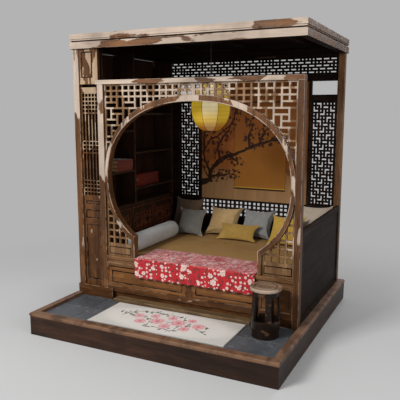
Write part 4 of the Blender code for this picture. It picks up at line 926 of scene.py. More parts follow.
@dataclass(frozen=True)
class Silk:
    """Glowing lantern silk in golden gores, every other gore cream towards its top as a painted highlight,
    amber low down, with sewn hoops.
    """

    name: str = "lantern_silk"
    centre: Point = (0.109, -0.03)
    gores: int = 8
    amber: Colour = (0.26, 0.098, 0.006)
    gold: Colour = (0.5, 0.33, 0.02)
    # cream of the painted highlight
    cream: Colour = (0.76, 0.65, 0.38)
    seam: Colour = (0.15, 0.07, 0.008)
    amber_z: Point = (1.725, 1.815)
    highlight_z: Point = (1.79, 1.92)
    hoop: float = 0.034
    stitch: Point = (0.0008, 0.0022)
    count: float = 500.0
    glow: float = 0.45
    relief: float = 0.0006

    @cache
    def material(self) -> Material:
        """The silk's material."""
        g = Surface(self.name, 0.3)
        place = g.mapped(location=(-self.centre[0], -self.centre[1], 0.0))
        part = g.split(place)
        slub = g.use(EFFECTS.thread, Vector=place, Count=self.count)["Slub"]
        angle = g.times(g.math("ARCTAN2", part[1], part[0]), self.gores / TURN)
        odd = g.math("ABSOLUTE", g.math("MODULO", g.math("FLOOR", angle), 2.0))
        base = g.mix(g.step(part[2], *self.amber_z), self.amber, self.gold)
        # Painted highlight: cream towards the top of every other gore.
        pale = g.times(g.step(part[2], *self.highlight_z, 0.15, 1.0), g.math("SUBTRACT", 1.0, odd))
        base = g.mix(pale, base, self.cream)
        off = g.math("PINGPONG", part[2], self.hoop / 2)
        base = g.mix(g.step(off, *self.stitch, 0.45, 0.0), base, self.seam)
        base = g.mix(g.times(slub, 0.22), base, self.amber)
        g.feed(g.shader["Emission Color"], base)
        g.shader["Emission Strength"].default_value = self.glow
        return g.close(base, g.plus(slub, 0.2, 0.5), slub, self.relief, 0.5)


@dataclass(frozen=True)
class Rush:
    """Woven rush mat with ribs across the bed."""

    name: str = "rush_mat"
    dark: Colour = (0.215, 0.112, 0.036)
    light: Colour = (0.5, 0.3, 0.115)
    ribs: float = 95.0
    relief: float = 0.0012

    @cache
    def material(self) -> Material:
        """The mat's material."""
        g = Surface(self.name, 0.2)
        place = g.mapped()
        part = g.split(place)
        rib = g.math("SINE", g.times(part[1], TURN * self.ribs))
        lash = g.math("SINE", g.times(part[0], TURN * self.ribs / 4))
        reed = g.noise(g.mapped((0.05, 1, 1)), 240.0, 2.0)
        weave = g.plus(g.times(rib, lash), 0.5, 0.5)
        base = g.mix(g.plus(weave, 0.3, g.times(reed, 0.75), clamp=True), self.dark, self.light)
        stain = g.step(g.noise(place, 3.0, 4.0, 0.6), 0.45, 0.7)
        base = g.mix(g.times(stain, 0.35), base, self.dark)
        return g.close(base, g.plus(reed, 0.2, 0.62), weave, self.relief, 0.6)


# Each wood's worn colour and level set its painted patches of light; the lifts thin them low down and on the
# sides as painted shade.
FRAME_WOOD = Wood("frame_wood", (0.06, 0.023, 0.007), (0.222, 0.093, 0.031), (0.58, 0.455, 0.36), 0.5)
FRET_WOOD = Wood("fret_wood", (0.115, 0.054, 0.02), (0.33, 0.185, 0.085), (0.57, 0.445, 0.34), 0.5, 9.0)
LIP_WOOD = replace(FRAME_WOOD, name="lip_wood", level=0.44, side_shade_lift=0.32)
SCREEN_WOOD = Wood("screen_wood", (0.046, 0.016, 0.004), (0.19, 0.073, 0.02), (0.47, 0.33, 0.21), 0.53,
                   11.0, low_shade_lift=0.2)
DRAWER_WOOD = Wood("drawer_wood", (0.12, 0.044, 0.012), (0.37, 0.16, 0.048), (0.5, 0.32, 0.17), 0.74)
SILL_WOOD = Wood("sill_wood", (0.085, 0.036, 0.013), (0.27, 0.13, 0.05), (0.44, 0.3, 0.18), 0.72)
STEP_WOOD = Wood("step_wood", (0.075, 0.042, 0.019), (0.235, 0.148, 0.072), (0.42, 0.31, 0.2), 0.72)
STOOL_WOOD = Wood("stool_wood", (0.17, 0.092, 0.052), (0.37, 0.245, 0.165), (0.52, 0.4, 0.31), 0.56,
                  low_shade_lift=0.0)
SHELF_WOOD = Wood("shelf_wood", (0.014, 0.006, 0.003), (0.054, 0.022, 0.01), (0.16, 0.08, 0.04), 0.74)
# Near-black wood. Under the roof, in grooves and on the panel beads its dark is painted shade, and on the
# back wall and the right side panel it is partly painted shade.
DARK_WOOD = Wood("dark_wood", (0.007, 0.004, 0.003), (0.026, 0.014, 0.009), (0.1, 0.058, 0.036), 0.76,
                 gloss=0.03)
CARVED_WOOD = Wood("carved_wood", (0.07, 0.018, 0.006), (0.21, 0.06, 0.02), (0.3, 0.12, 0.05), 0.74)
# The kerbs' top above bead_z is painted highlight with scuffs.
KERB_WOOD = Wood("kerb_wood", (0.016, 0.007, 0.004), (0.058, 0.024, 0.012), (0.2, 0.105, 0.058), 0.74,
                 bead_z=0.158)

CUSHION_CLOTHS = {
    f"cushion_{name}": Cloth(f"{name}_cloth", dark, light) for name, dark, light in (
        ("brown", (0.066, 0.039, 0.02), (0.18, 0.115, 0.068)),
        ("dark_grey", (0.084, 0.079, 0.07), (0.215, 0.204, 0.182)),
        ("tan", (0.255, 0.152, 0.056), (0.5, 0.335, 0.155)),
        ("grey_blue", (0.122, 0.122, 0.116), (0.285, 0.282, 0.264)),
        ("mustard", (0.28, 0.158, 0.018), (0.52, 0.325, 0.055)),
        ("lumbar", (0.205, 0.118, 0.02), (0.42, 0.262, 0.064)),
        ("beige", (0.25, 0.195, 0.145), (0.47, 0.39, 0.31)),
    )
}
BOLSTER_CLOTH = Brocade("bolster_cloth", (0.27, 0.284, 0.286), (0.53, 0.545, 0.535))
TAPE_CLOTH = Cloth("tape_cloth", (0.035, 0.022, 0.016), (0.1, 0.065, 0.042))
# Pale piping: a painted highlight along the dark grey cushion's edge.
HIGHLIGHT_PIPING_CLOTH = Cloth("highlight_piping_cloth", (0.3, 0.27, 0.23), (0.52, 0.48, 0.42))
BINDING_CLOTH = Cloth("binding_cloth", (0.08, 0.072, 0.062), (0.2, 0.185, 0.165))


def new_piece(name: str, bm: Mesh, materials: list[Material], smooth: float = 30.0) -> Piece:
    """Turn a mesh into an object at the origin.

    Args:
        name: the piece's name.
        bm: its mesh, which is freed.
        materials: its materials.
        smooth: edges sharper than this many degrees stay sharp.

    Returns:
        The object.
    """
    bmesh.ops.dissolve_degenerate(bm, dist=WELD, edges=bm.edges)
    mesh = bpy.data.meshes.new(name)
    bm.to_mesh(mesh)
    bm.free()
    for material in materials:
        mesh.materials.append(material)
    mesh.shade_smooth()
    mesh.set_sharp_from_angle(angle=radians(smooth))
    obj = bpy.data.objects.new(name, mesh)
    bpy.context.scene.collection.objects.link(obj)
    return obj


def settle(obj: Piece, body: str, slot: str, *nodes: str) -> Piece:
    """Let a piece ride on a body, in place of CAD nodes.

    Args:
        obj: the piece.
        body: the CAD body it moves with.
        slot: the record's material slot; not used.
        nodes: the CAD nodes it stands for.

    Returns:
        The piece.
    """
    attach(obj, body)
    if nodes:
        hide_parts(*nodes)
    LOG.info("%s rides on %s", obj.name, body)
    return obj


def paint(node: str, material: Material) -> None:
    """Give a CAD node that keeps its solid a material."""
    slots = NODES[node].data.materials
    slots.clear()
    slots.append(material)
    LOG.info("%s keeps its solid", node)


def thicken(piece: Piece, thickness: float, offset: float) -> None:
    """Give a sheet its thickness, behind its faces with the offset -1 and on both sides with 0."""
    solid = piece.modifiers.new("thickness", "SOLIDIFY")
    solid.thickness, solid.offset = thickness, offset


def middle(node: str) -> Vector:
    """Middle of a CAD node's box."""
    low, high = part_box(node)
    return (low + high) / 2


def block(bm: Mesh, low: Vector, high: Vector, ease: float = 0.0, segments: int = 2, finish: int = 0) -> None:
    """Add a block with eased edges to a mesh.

    Args:
        bm: the mesh.
        low: lowest corner.
        high: highest corner.
        ease: width of the eased edge.
        segments: facets across the eased edge.
        finish: number of its material.
    """
    low, high = Vector(low), Vector(high)
    matrix = Matrix.Translation((low + high) / 2) @ Matrix.Diagonal((*(high - low), 1.0))
    verts = bmesh.ops.create_cube(bm, size=1.0, matrix=matrix)["verts"]
    for vert in verts:
        for face in vert.link_faces:
            face.material_index = finish
    if ease:
        edges = list(dict.fromkeys(edge for vert in verts for edge in vert.link_edges))
        bmesh.ops.bevel(bm, geom=edges, offset=ease, offset_type="OFFSET", segments=segments, profile=0.5,
                        affect="EDGES", material=-1, clamp_overlap=True)


def tube(bm: Mesh, path: list[Vector], radius: float, sides: int = 6, closed: bool = False) -> None:
    """Add a round tube along a path to a mesh.

    Args:
        bm: the mesh.
        path: points of its middle line.
        radius: the tube's radius.
        sides: sides of its section.
        closed: join its end to its start.
    """
    count = len(path)
    rings = []
    side = None
    for n, point in enumerate(path):
        ahead = path[(n + 1) % count] if closed or n + 1 < count else point
        behind = path[n - 1] if closed or n else point
        along = (ahead - behind).normalized()
        if side is None:
            side = along.orthogonal().normalized()
        side = (side - along * side.dot(along)).normalized()
        turn = Matrix((side, along.cross(side), along)).transposed().to_4x4()
        made = bmesh.ops.create_circle(bm, segments=sides, radius=radius,
                                       matrix=Matrix.Translation(point) @ turn,
                                       cap_ends=not closed and n in (0, count - 1))
        rings.append(made["verts"])
    for first, second in zip(rings, rings[1:] + rings[:1] if closed else rings[1:]):
        edges = dict.fromkeys(edge for ring in (first, second) for vert in ring for edge in vert.link_edges
                              if all(end in ring for end in edge.verts))
        bmesh.ops.bridge_loops(bm, edges=list(edges))


def lobed_ring(centre: Vector, right: Vector, radius: float, lobe: float, lobes: int,
               steps: int) -> list[Vector]:
    """A closed, upright path about a centre, whose radius swells by the share lobe in each of its lobes."""
    angles = [TURN * n / steps for n in range(steps)]
    return [centre + (right * cos(angle) + UP * sin(angle)) * (radius * (1 + lobe * cos(lobes * angle)))
            for angle in angles]


def turned(profile: list[Point], steps: int, axis: Axis = Axis.Z) -> Mesh:
    """A body turned about an axis.

    Args:
        profile: (radius, distance along the axis) points.
        steps: steps of the turn.
        axis: Y or Z.

    Returns:
        The mesh about the origin.
    """
    bm = bmesh.new()
    way = Vector((0.0, 1.0, 0.0)) if axis is Axis.Y else UP
    verts = [bm.verts.new(Vector((r, 0.0, 0.0)) + way * h) for r, h in profile]
    edges = [bm.edges.new(pair) for pair in zip(verts, verts[1:])]
    bmesh.ops.spin(bm, geom=verts + edges, cent=(0, 0, 0), axis=way, dvec=(0, 0, 0), angle=TURN, steps=steps,
                   use_merge=True, use_duplicate=False)
    bmesh.ops.remove_doubles(bm, verts=bm.verts, dist=WELD)
    bmesh.ops.recalc_face_normals(bm, faces=bm.faces)
    return bm


def sheet_grid(columns: int, rows: int) -> tuple[Mesh, dict[bmesh.types.BMVert, Point]]:
    """A flat grid and the share of each point along and across it.

    Args:
        columns: cells along.
        rows: cells across.

    Returns:
        The mesh and each vertex's shares from 0 to 1.
    """
    bm = bmesh.new()
    bmesh.ops.create_grid(bm, x_segments=columns, y_segments=rows, size=0.5)
    return bm, {vert: (vert.co.x + 0.5, vert.co.y + 0.5) for vert in bm.verts}


@dataclass
class Platform:
    """Kerbs and slate floor, which keep their solids."""

    kerbs: tuple = (("kerb_front", Axis.X), ("kerb_left", Axis.Y), ("kerb_right", Axis.Y))

    def dress(self) -> None:
        """Give the kerbs and the tiles their finishes."""
        for node, axis in self.kerbs:
            paint(node, KERB_WOOD.material(axis))
        paint("slate_floor", Slate().material())


@dataclass
class Joinery:
    """The wooden frame: every rigid wooden node with eased, rubbed edges."""

    ease: float = 0.0022
    fine_ease: float = 0.0012
    corner: float = 25.0
    smooth: float = 20.0
    groove: float = 0.01
    slim: float = 0.0035
    lattice: str = "side_screen"
    lattice_z: Point = (1.09, 2.04)
    roof: tuple = ("roof_slab", "roof_fascia")
    boards: tuple = (
        (LIP_WOOD, Axis.X, ease, ("roof_slab",)),
        (FRAME_WOOD, Axis.X, ease, ("roof_fascia", "gate_header")),
        (FRAME_WOOD, Axis.Z, ease, ("post_front_left", "gate_stile_left", "gate_stile_right", "moon_ring")),
        (SILL_WOOD, Axis.Z, ease, ("post_back_left", "post_back_right")),
        (FRET_WOOD, Axis.Z, fine_ease, ("spandrel_left", "spandrel_right")),
        (FRET_WOOD, Axis.Z, fine_ease, ("gate_corner_left", "gate_corner_right")),
        (SCREEN_WOOD, Axis.Z, fine_ease, ("side_screen", "frieze_panel_left")),
        (SCREEN_WOOD, Axis.X, ease, ("screen_plinth", "base_front_frame")),
        (DRAWER_WOOD, Axis.X, ease, ("drawer_left_front", "drawer_right_front")),
        (SILL_WOOD, Axis.X, ease, ("bed_sill",)),
        (STEP_WOOD, Axis.X, ease, ("step_board",)),
        (SHELF_WOOD, Axis.Z, ease, ("curio_shelf", "shelf_foot", "shelf_back")),
        # Near-black wood: partly painted shade on the back wall and the right side panel.
        (DARK_WOOD, Axis.X, ease, ("back_frame", "platform_deck", "drawer_carcass", "bed_boards")),
        (DARK_WOOD, Axis.X, ease, ("drawer_left_box", "drawer_right_box")),
        (DARK_WOOD, Axis.Y, ease, ("side_panel_right",)),
    )

    def eased(self, node: str, ease: float) -> Mesh:
        """A copy of a node's mesh with eased edges, whose faces take the second material.

        Args:
            node: the CAD node.
            ease: width of the eased edge.

        Returns:
            The mesh.
        """
        bm = bmesh.new()
        bm.from_mesh(NODES[node].data)
        bmesh.ops.remove_doubles(bm, verts=bm.verts, dist=CAD_WELD)
        bmesh.ops.dissolve_limit(bm, angle_limit=radians(1), verts=bm.verts, edges=bm.edges)
        if node == self.lattice:
            self.slim_bars(bm)
        for face in bm.faces:
            face.material_index = 0
        sharp = [edge for edge in bm.edges
                 if len(edge.link_faces) == 2 and edge.calc_face_angle() > radians(self.corner)]
        made = bmesh.ops.bevel(bm, geom=sharp, offset=ease, offset_type="OFFSET", segments=2, profile=0.5,
                               affect="EDGES", material=-1, clamp_overlap=True, loop_slide=True)
        for face in made["faces"]:
            face.material_index = 1
        return bm

    def slim_bars(self, bm: Mesh) -> None:
        """Widen the openings of the lattice, so that its bars look as slim as they are seen to be.

        Args:
            bm: the lattice's mesh.
        """
        low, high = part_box(self.lattice)
        bm.normal_update()
        moves = {}
        for vert in bm.verts:
            inside = min(vert.co.x - low.x, high.x - vert.co.x) > self.slim
            if inside and self.lattice_z[0] < vert.co.z < self.lattice_z[1]:
                walls = {(round(face.normal.x), round(face.normal.z)) for face in vert.link_faces
                         if abs(face.normal.y) < 0.5}
                moves[vert] = Vector((sum(x for x, _ in walls), 0.0, sum(z for _, z in walls)))
        for vert, move in moves.items():
            vert.co -= move * self.slim

    def paint_soffit_shade(self, bm: Mesh, node: str) -> None:
        """Give the faces under the roof and in its groove the third material, a dark wood that is painted
        shade.

        Args:
            bm: the roof piece's mesh.
            node: its CAD node.
        """
        low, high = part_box(node)
        bm.normal_update()
        for face in bm.faces:
            spot = face.calc_center_median()
            inset = min(spot.x - low.x, high.x - spot.x, spot.y - low.y, high.y - spot.y)
            if face.normal.z < -0.5 or (inset > self.groove and face.normal.z < 0.5):
                face.material_index = 2

    def mark_board(self, piece: Piece, number: int) -> None:
        """Give a board its own place in the wood's figure, by its number among the boards."""
        layer = piece.data.attributes.new(BOARD, "FLOAT_VECTOR", "POINT")
        layer.data.foreach_set("vector", list(BOARD_SHIFT * number) * len(piece.data.vertices))

    def coat(self, node: str, ease: float, material: Material) -> None:
        """Replace a lacquered node by its eased copy."""
        piece = new_piece(f"{node}_eased", self.eased(node, ease), [material] * 2)
        settle(piece, BED, SLOT_OF[node], node)

    def dress(self) -> None:
        """Replace each wooden node by its eased copy."""
        rows = [(node, *row) for *row, nodes in self.boards for node in nodes]
        for number, (node, wood, axis, ease) in enumerate(rows):
            bm = self.eased(node, ease)
            materials = [wood.material(axis), wood.material(axis, rubbed=True)]
            # Painted shade under the roof and in its groove.
            if node in self.roof:
                self.paint_soffit_shade(bm, node)
                materials.append(DARK_WOOD.material(axis))
            piece = new_piece(f"{node}_eased", bm, materials, self.smooth)
            self.mark_board(piece, number)
            settle(piece, NODES[node]["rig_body"], SLOT_OF[node], node)


@dataclass
class PanelBeads:
    """Small bead frames that line the sunk panels of the screen, the drawers and the frieze, in near-black
    wood that paints the shade in the panels' grooves.
    """

    bead: float = 0.009
    ease: float = 0.0018
    set_back: float = 0.0004
    recess: float = 0.008
    screen_stack: tuple = (0.152, 0.524, 0.053, 0.081, 0.046, 0.039, 0.037)
    screen_bar: float = 0.015
    drawer_border: float = 0.028
    drawer_field: float = 0.004
    frieze_border: float = 0.022
    frieze_rail: float = 0.034
    frieze_end: float = 0.061
    corner_panel: float = 0.099
    corner_inset: float = 0.014
    corner_proud: float = 0.003

    def frame(self, bm: Mesh, low: Vector, high: Vector) -> None:
        """Four beads round a panel.

        Args:
            bm: the mesh to add them to.
            low: lowest corner of the panel, at the beads' front.
            high: highest corner, at the beads' back.
        """
        foot, head = low.z + self.bead, high.z - self.bead
        block(bm, low, (high.x, high.y, foot), self.ease)
        block(bm, (low.x, low.y, head), high, self.ease)
        for x in (low.x, high.x - self.bead):
            block(bm, (x, low.y + self.set_back, foot), (x + self.bead, high.y, head), self.ease)

    def finish(self, name: str, bm: Mesh, body: str) -> None:
        """Make the beads a dark piece that rides on a body; their dark is painted shade."""
        settle(new_piece(name, bm, [DARK_WOOD.material(Axis.X, rubbed=True)]), body, "brown_wood")

    def build(self) -> None:
        """The beads of the screen, frieze, gate corners and drawers."""
        bm = bmesh.new()
        low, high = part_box("side_screen")
        z = low.z
        for n, height in enumerate(self.screen_stack):
            if n % 2:
                self.frame(bm, Vector((low.x + self.screen_bar, low.y + HAIR, z)),
                           Vector((high.x - self.screen_bar, low.y + self.recess, z + height)))
            z += height
        low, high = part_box("frieze_panel_left")
        self.frame(bm, low + Vector((self.frieze_border, HAIR, self.frieze_rail + self.frieze_border)),
                   Vector((high.x - self.frieze_end, low.y + self.recess, high.z - self.frieze_border)))
        inset = Vector((self.corner_inset, 0.0, self.corner_inset))
        for node in ("gate_corner_left", "gate_corner_right"):
            low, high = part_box(node)
            top = Vector((high.x, low.y + HAIR, low.z + self.corner_panel))
            self.frame(bm, low + inset - Vector((0.0, self.corner_proud, 0.0)), top - inset)
        self.finish("panel_beads", bm, BED)
        edge = Vector((self.drawer_border, 0.0, self.drawer_border))
        for drawer in ("drawer_left", "drawer_right"):
            bm = bmesh.new()
            low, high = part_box(f"{drawer}_front")
            back = Vector((high.x, low.y + self.drawer_field, high.z))
            self.frame(bm, low + edge - Vector((0.0, HAIR, 0.0)), back - edge)
            self.finish(f"{drawer}_bead", bm, drawer)


@dataclass
class BackFrets:
    """Close frets of short bars in the back wall's side lights and frieze, and thin bars in its low band."""

    bar: float = 0.019
    light: tuple[int, int] = (7, 30)
    frieze: tuple[int, int] = (54, 5)
    band: tuple[int, int] = (12, 2)
    band_bar: float = 0.016
    band_z: Point = (0.7563, 0.9123)
    muntin: float = 0.014
    set_in: float = 0.01

    def bars(self, bm: Mesh, node: str, cells: tuple[int, int], brick: bool) -> None:
        """The bars of one fret.

        Args:
            bm: the mesh to add them to.
            node: the CAD lattice whose box they fill.
            cells: columns and rows.
            brick: long openings shifted from row to row, in place of a pinwheel.
        """
        low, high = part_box(node)
        columns, rows = cells
        half = self.bar / 2
        wide = (high.x - low.x - self.bar) / columns
        tall = (high.z - low.z - self.bar) / rows
        for i in range(columns + 1):
            x = low.x + half + i * wide
            for k in range(rows):
                open_side = (i + k) % 2 and (i // 4 + k) % 3 if brick else (i + 2 * k) % 5 == 0
                if i in (0, columns) or not open_side:
                    z = low.z + half + k * tall
                    block(bm, (x - half, low.y, z), (x + half, high.y, z + tall))
        for k in range(rows + 1):
            z = low.z + half + k * tall
            for i in range(columns):
                open_side = not brick and (2 * i + k) % 5 == 3
                if k in (0, rows) or not open_side:
                    x = low.x + half + i * wide
                    block(bm, (x - half, low.y + HAIR, z - half), (x + wide + half, high.y - HAIR, z + half))

    def build_muntins(self) -> None:
        """A cross of thin bars in each opening of the low band behind the cushions."""
        low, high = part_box("back_panel")
        front, back = (corner.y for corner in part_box("back_frame"))
        front, back = front + self.set_in, back - self.set_in
        columns, rows = self.band
        wide = (high.x - low.x + self.band_bar) / columns
        tall = (self.band_z[1] - self.band_z[0] + self.band_bar) / rows
        open_x, open_z = wide - self.band_bar, tall - self.band_bar
        half = self.muntin / 2
        bm = bmesh.new()
        for i in range(columns):
            x = low.x + i * wide
            for k in range(rows):
                z = self.band_z[0] + k * tall
                mid_x, mid_z = x + open_x / 2, z + open_z / 2
                block(bm, (mid_x - half, front, z), (mid_x + half, back, z + open_z))
                block(bm, (x, front + HAIR, mid_z - half), (x + open_x, back - HAIR, mid_z + half))
        settle(new_piece("back_band_muntins", bm, [DARK_WOOD.material(Axis.Z)]), BED, "dark_wood")

    def build(self) -> None:
        """Both side lights, the frieze and the low band."""
        self.build_muntins()
        for node in ("back_lattice_left", "back_lattice_right", "back_frieze_lattice"):
            bm = bmesh.new()
            brick = node == "back_frieze_lattice"
            self.bars(bm, node, self.frieze if brick else self.light, brick)
            settle(new_piece(f"{node}_fret", bm, [DARK_WOOD.material(Axis.Z)]), BED, SLOT_OF[node], node)


@dataclass
class GateCarving:
    """Pierced clouds in the middle of the crown and a pale bead along the ring's inner edge, which is a
    painted highlight.
    """

    bar: float = 0.015
    pitch: Point = (0.0612, 0.0505)
    first: Point = (0.37, 0.35)
    columns: int = 5
    rows: int = 2
    cloud: float = 0.015
    stretch: float = 1.25
    lobe: float = 0.3
    lobes: int = 4
    cloud_steps: int = 28
    thread: float = 0.0034
    centre: Point = (0.109, 1.287)
    ring_side: float = 0.033
    ring_inner: float = 0.662
    ring_foot: float = 0.577
    power: float = 2.25
    bead: float = 0.0035
    bead_sides: int = 8
    steps: int = 120

    def build_clouds(self) -> None:
        """A lobed cloud in each opening near the crown's middle."""
        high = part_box("spandrel_right")[1]
        y = middle("spandrel_right").y
        bm = bmesh.new()
        for n in range(self.columns):
            for row in range(self.rows):
                for side in (-1, 1):
                    x = self.centre[0] + side * (self.bar + (n + self.first[0]) * self.pitch[0])
                    z = high.z - self.bar - (row + self.first[1]) * self.pitch[1]
                    path = lobed_ring(Vector((x, y, z)), Vector((self.stretch, 0.0, 0.0)), self.cloud,
                                      self.lobe, self.lobes + (n + row) % 2, self.cloud_steps)
                    tube(bm, path, self.thread, closed=True)
        settle(new_piece("crown_clouds", bm, [FRET_WOOD.material(Axis.X)], TUBE_SMOOTH), BED, "pale_wood")

    def build_bead(self) -> None:
        """A round bead that follows the ring's inner edge, in rubbed wood whose pale paints the highlight
        along it.
        """
        low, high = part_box("moon_ring")
        half = (high.x - low.x) / 2 - self.ring_side + self.bead
        tall = self.ring_inner + self.bead
        foot = self.ring_foot + self.bead
        start = -acos((foot / half) ** (self.power / 2))
        path = [Vector((self.centre[0] + foot, low.y, low.z))]
        for n in range(self.steps + 1):
            t = start + (pi - 2 * start) * n / self.steps
            x = half * copysign(abs(cos(t)) ** (2 / self.power), cos(t))
            z = tall * copysign(abs(sin(t)) ** (2 / self.power), sin(t))
            path.append(Vector((self.centre[0] + x, low.y, self.centre[1] + z)))
        path.append(Vector((self.centre[0] - foot, low.y, low.z)))
        bm = bmesh.new()
        tube(bm, path, self.bead, self.bead_sides)
        piece = new_piece("ring_highlight_bead", bm, [FRAME_WOOD.material(Axis.X, rubbed=True)], TUBE_SMOOTH)
        settle(piece, BED, "pale_wood")

    def build(self) -> None:
        """Both carvings."""
        self.build_clouds()
        self.build_bead()


@dataclass
class Stool:
    """Round stool: a black lacquered drum with eased edges and a lid with a grooved top."""

    ease: float = 0.0012
    inset: float = 0.034
    groove: float = 0.006
    depth: float = 0.0045
    groove_round: Point = (0.001, 0.0015)
    round_steps: int = 8
    turns: int = 72
    black: Lacquer = Lacquer("black_lacquer", (0.005, 0.003, 0.002), (0.02, 0.01, 0.006),
                             (0.11, 0.05, 0.022), 0.2)

    def build_lid(self) -> None:
        """The lid, turned with a rounded rim and a groove round its top, whose faces take the dark wood as
        painted shade.
        """
        low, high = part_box("stool_lid")
        spot = middle("stool_lid")
        radius = (high.x - low.x) / 2
        edge = (high.z - low.z) / 2
        profile = [(0.0, low.z)]
        for n in range(self.round_steps + 1):
            angle = pi * (n / self.round_steps - 0.5)
            profile.append((radius - edge / 2 + edge / 2 * cos(angle), spot.z + edge * sin(angle)))
        outer = radius - self.inset
        inner = outer - self.groove
        bottom = high.z - self.depth
        near, far = self.groove_round
        profile += [(outer + near, high.z), (outer, high.z - near), (outer, bottom)]
        profile += [(inner, bottom), (inner, high.z - far), (inner - far, high.z), (0.0, high.z)]
        bm = turned(profile, self.turns)
        bmesh.ops.translate(bm, verts=bm.verts, vec=(spot.x, spot.y, 0.0))
        # Painted shade: the groove's faces take the dark wood.
        for face in bm.faces:
            centre = face.calc_center_median()
            in_shaded_groove = inner < (centre.xy - spot.xy).length < outer and centre.z > spot.z
            face.material_index = 1 if in_shaded_groove else 0
        lid = new_piece("stool_lid_turned", bm, [STOOL_WOOD.material(Axis.X), DARK_WOOD.material(Axis.X)])
        settle(lid, BED, SLOT_OF["stool_lid"], "stool_lid")

    def dress(self) -> None:
        """Turn the lid and ease the drum's edges."""
        self.build_lid()
        Joinery().coat("stool_drum", self.ease, self.black.material())


@dataclass
class BackWall:
    """Painted back board and the hanging scroll before it."""

    sheet: Point = (0.563, 0.906)
    cells: tuple[int, int] = (40, 60)
    thickness: float = 0.0012
    air: float = 0.0012
    curl: float = 0.003
    ripple: float = 0.0012
    foot: float = 0.05
    pull: float = 0.0055
    border: float = 0.022
    top_gap: float = 0.002
    rod: float = 0.0075
    rod_share: float = 0.9
    rod_sides: int = 20
    rod_inset: tuple = (0.004, 0.0006, 0.0005)
    batten: Point = (0.004, 0.012)
    batten_y: float = 0.0065
    ease: float = 0.001
    paper: Paper = Paper("scroll_sheet", (0.21, 0.074, 0.01), (0.365, 0.148, 0.024), Branch())
    silk: Paper = Paper("scroll_silk", (0.42, 0.22, 0.016), (0.62, 0.37, 0.035))

    def build_scroll(self) -> None:
        """The paper with a silk strip along its foot, its round rod and the batten at its top."""
        low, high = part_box("wall_scroll")
        bottom = low.z + self.rod
        bm, shares = sheet_grid(*self.cells)
        for vert, (u, v) in shares.items():
            curl = self.curl * (2 * u - 1) ** 4 + self.ripple * sin(7 * v) * cos(3 * u)
            pull = self.pull * max(0.0, 1 - v / self.foot) ** 2
            x = (low.x + high.x) / 2 + (u - 0.5) * self.sheet[0]
            vert.co = (x, high.y - self.thickness - self.air - curl - pull,
                       bottom + v * (high.z - bottom - self.top_gap))
        for face in bm.faces:
            face.material_index = 0 if face.calc_center_median().z > bottom + self.border else 1
        bmesh.ops.reverse_faces(bm, faces=bm.faces)
        sheet = new_piece("hanging_scroll", bm, [self.paper.material(), self.silk.material()], SOFT_SMOOTH)
        thicken(sheet, self.thickness, 0.0)
        settle(sheet, BED, "scroll_paper", "wall_scroll")

        bm = bmesh.new()
        inset = Vector(self.rod_inset)
        ends = (low.x + inset.x, high.x - inset.x)
        path = [Vector((x, low.y + self.rod + inset.y, low.z + self.rod + inset.z)) for x in ends]
        tube(bm, path, self.rod * self.rod_share, self.rod_sides)
        deep, tall = self.batten
        y, z = high.y - self.thickness - self.batten_y, high.z - self.top_gap
        block(bm, (low.x, y - deep, z - tall), (high.x, y, z), self.ease)
        rods = settle(new_piece("scroll_rods", bm, [SHELF_WOOD.material(Axis.X)]), BED, "scroll_paper")

    def dress(self) -> None:
        """Paint the back board and hang the scroll."""
        paint("back_panel", PaintedBoard().material())
        self.build_scroll()


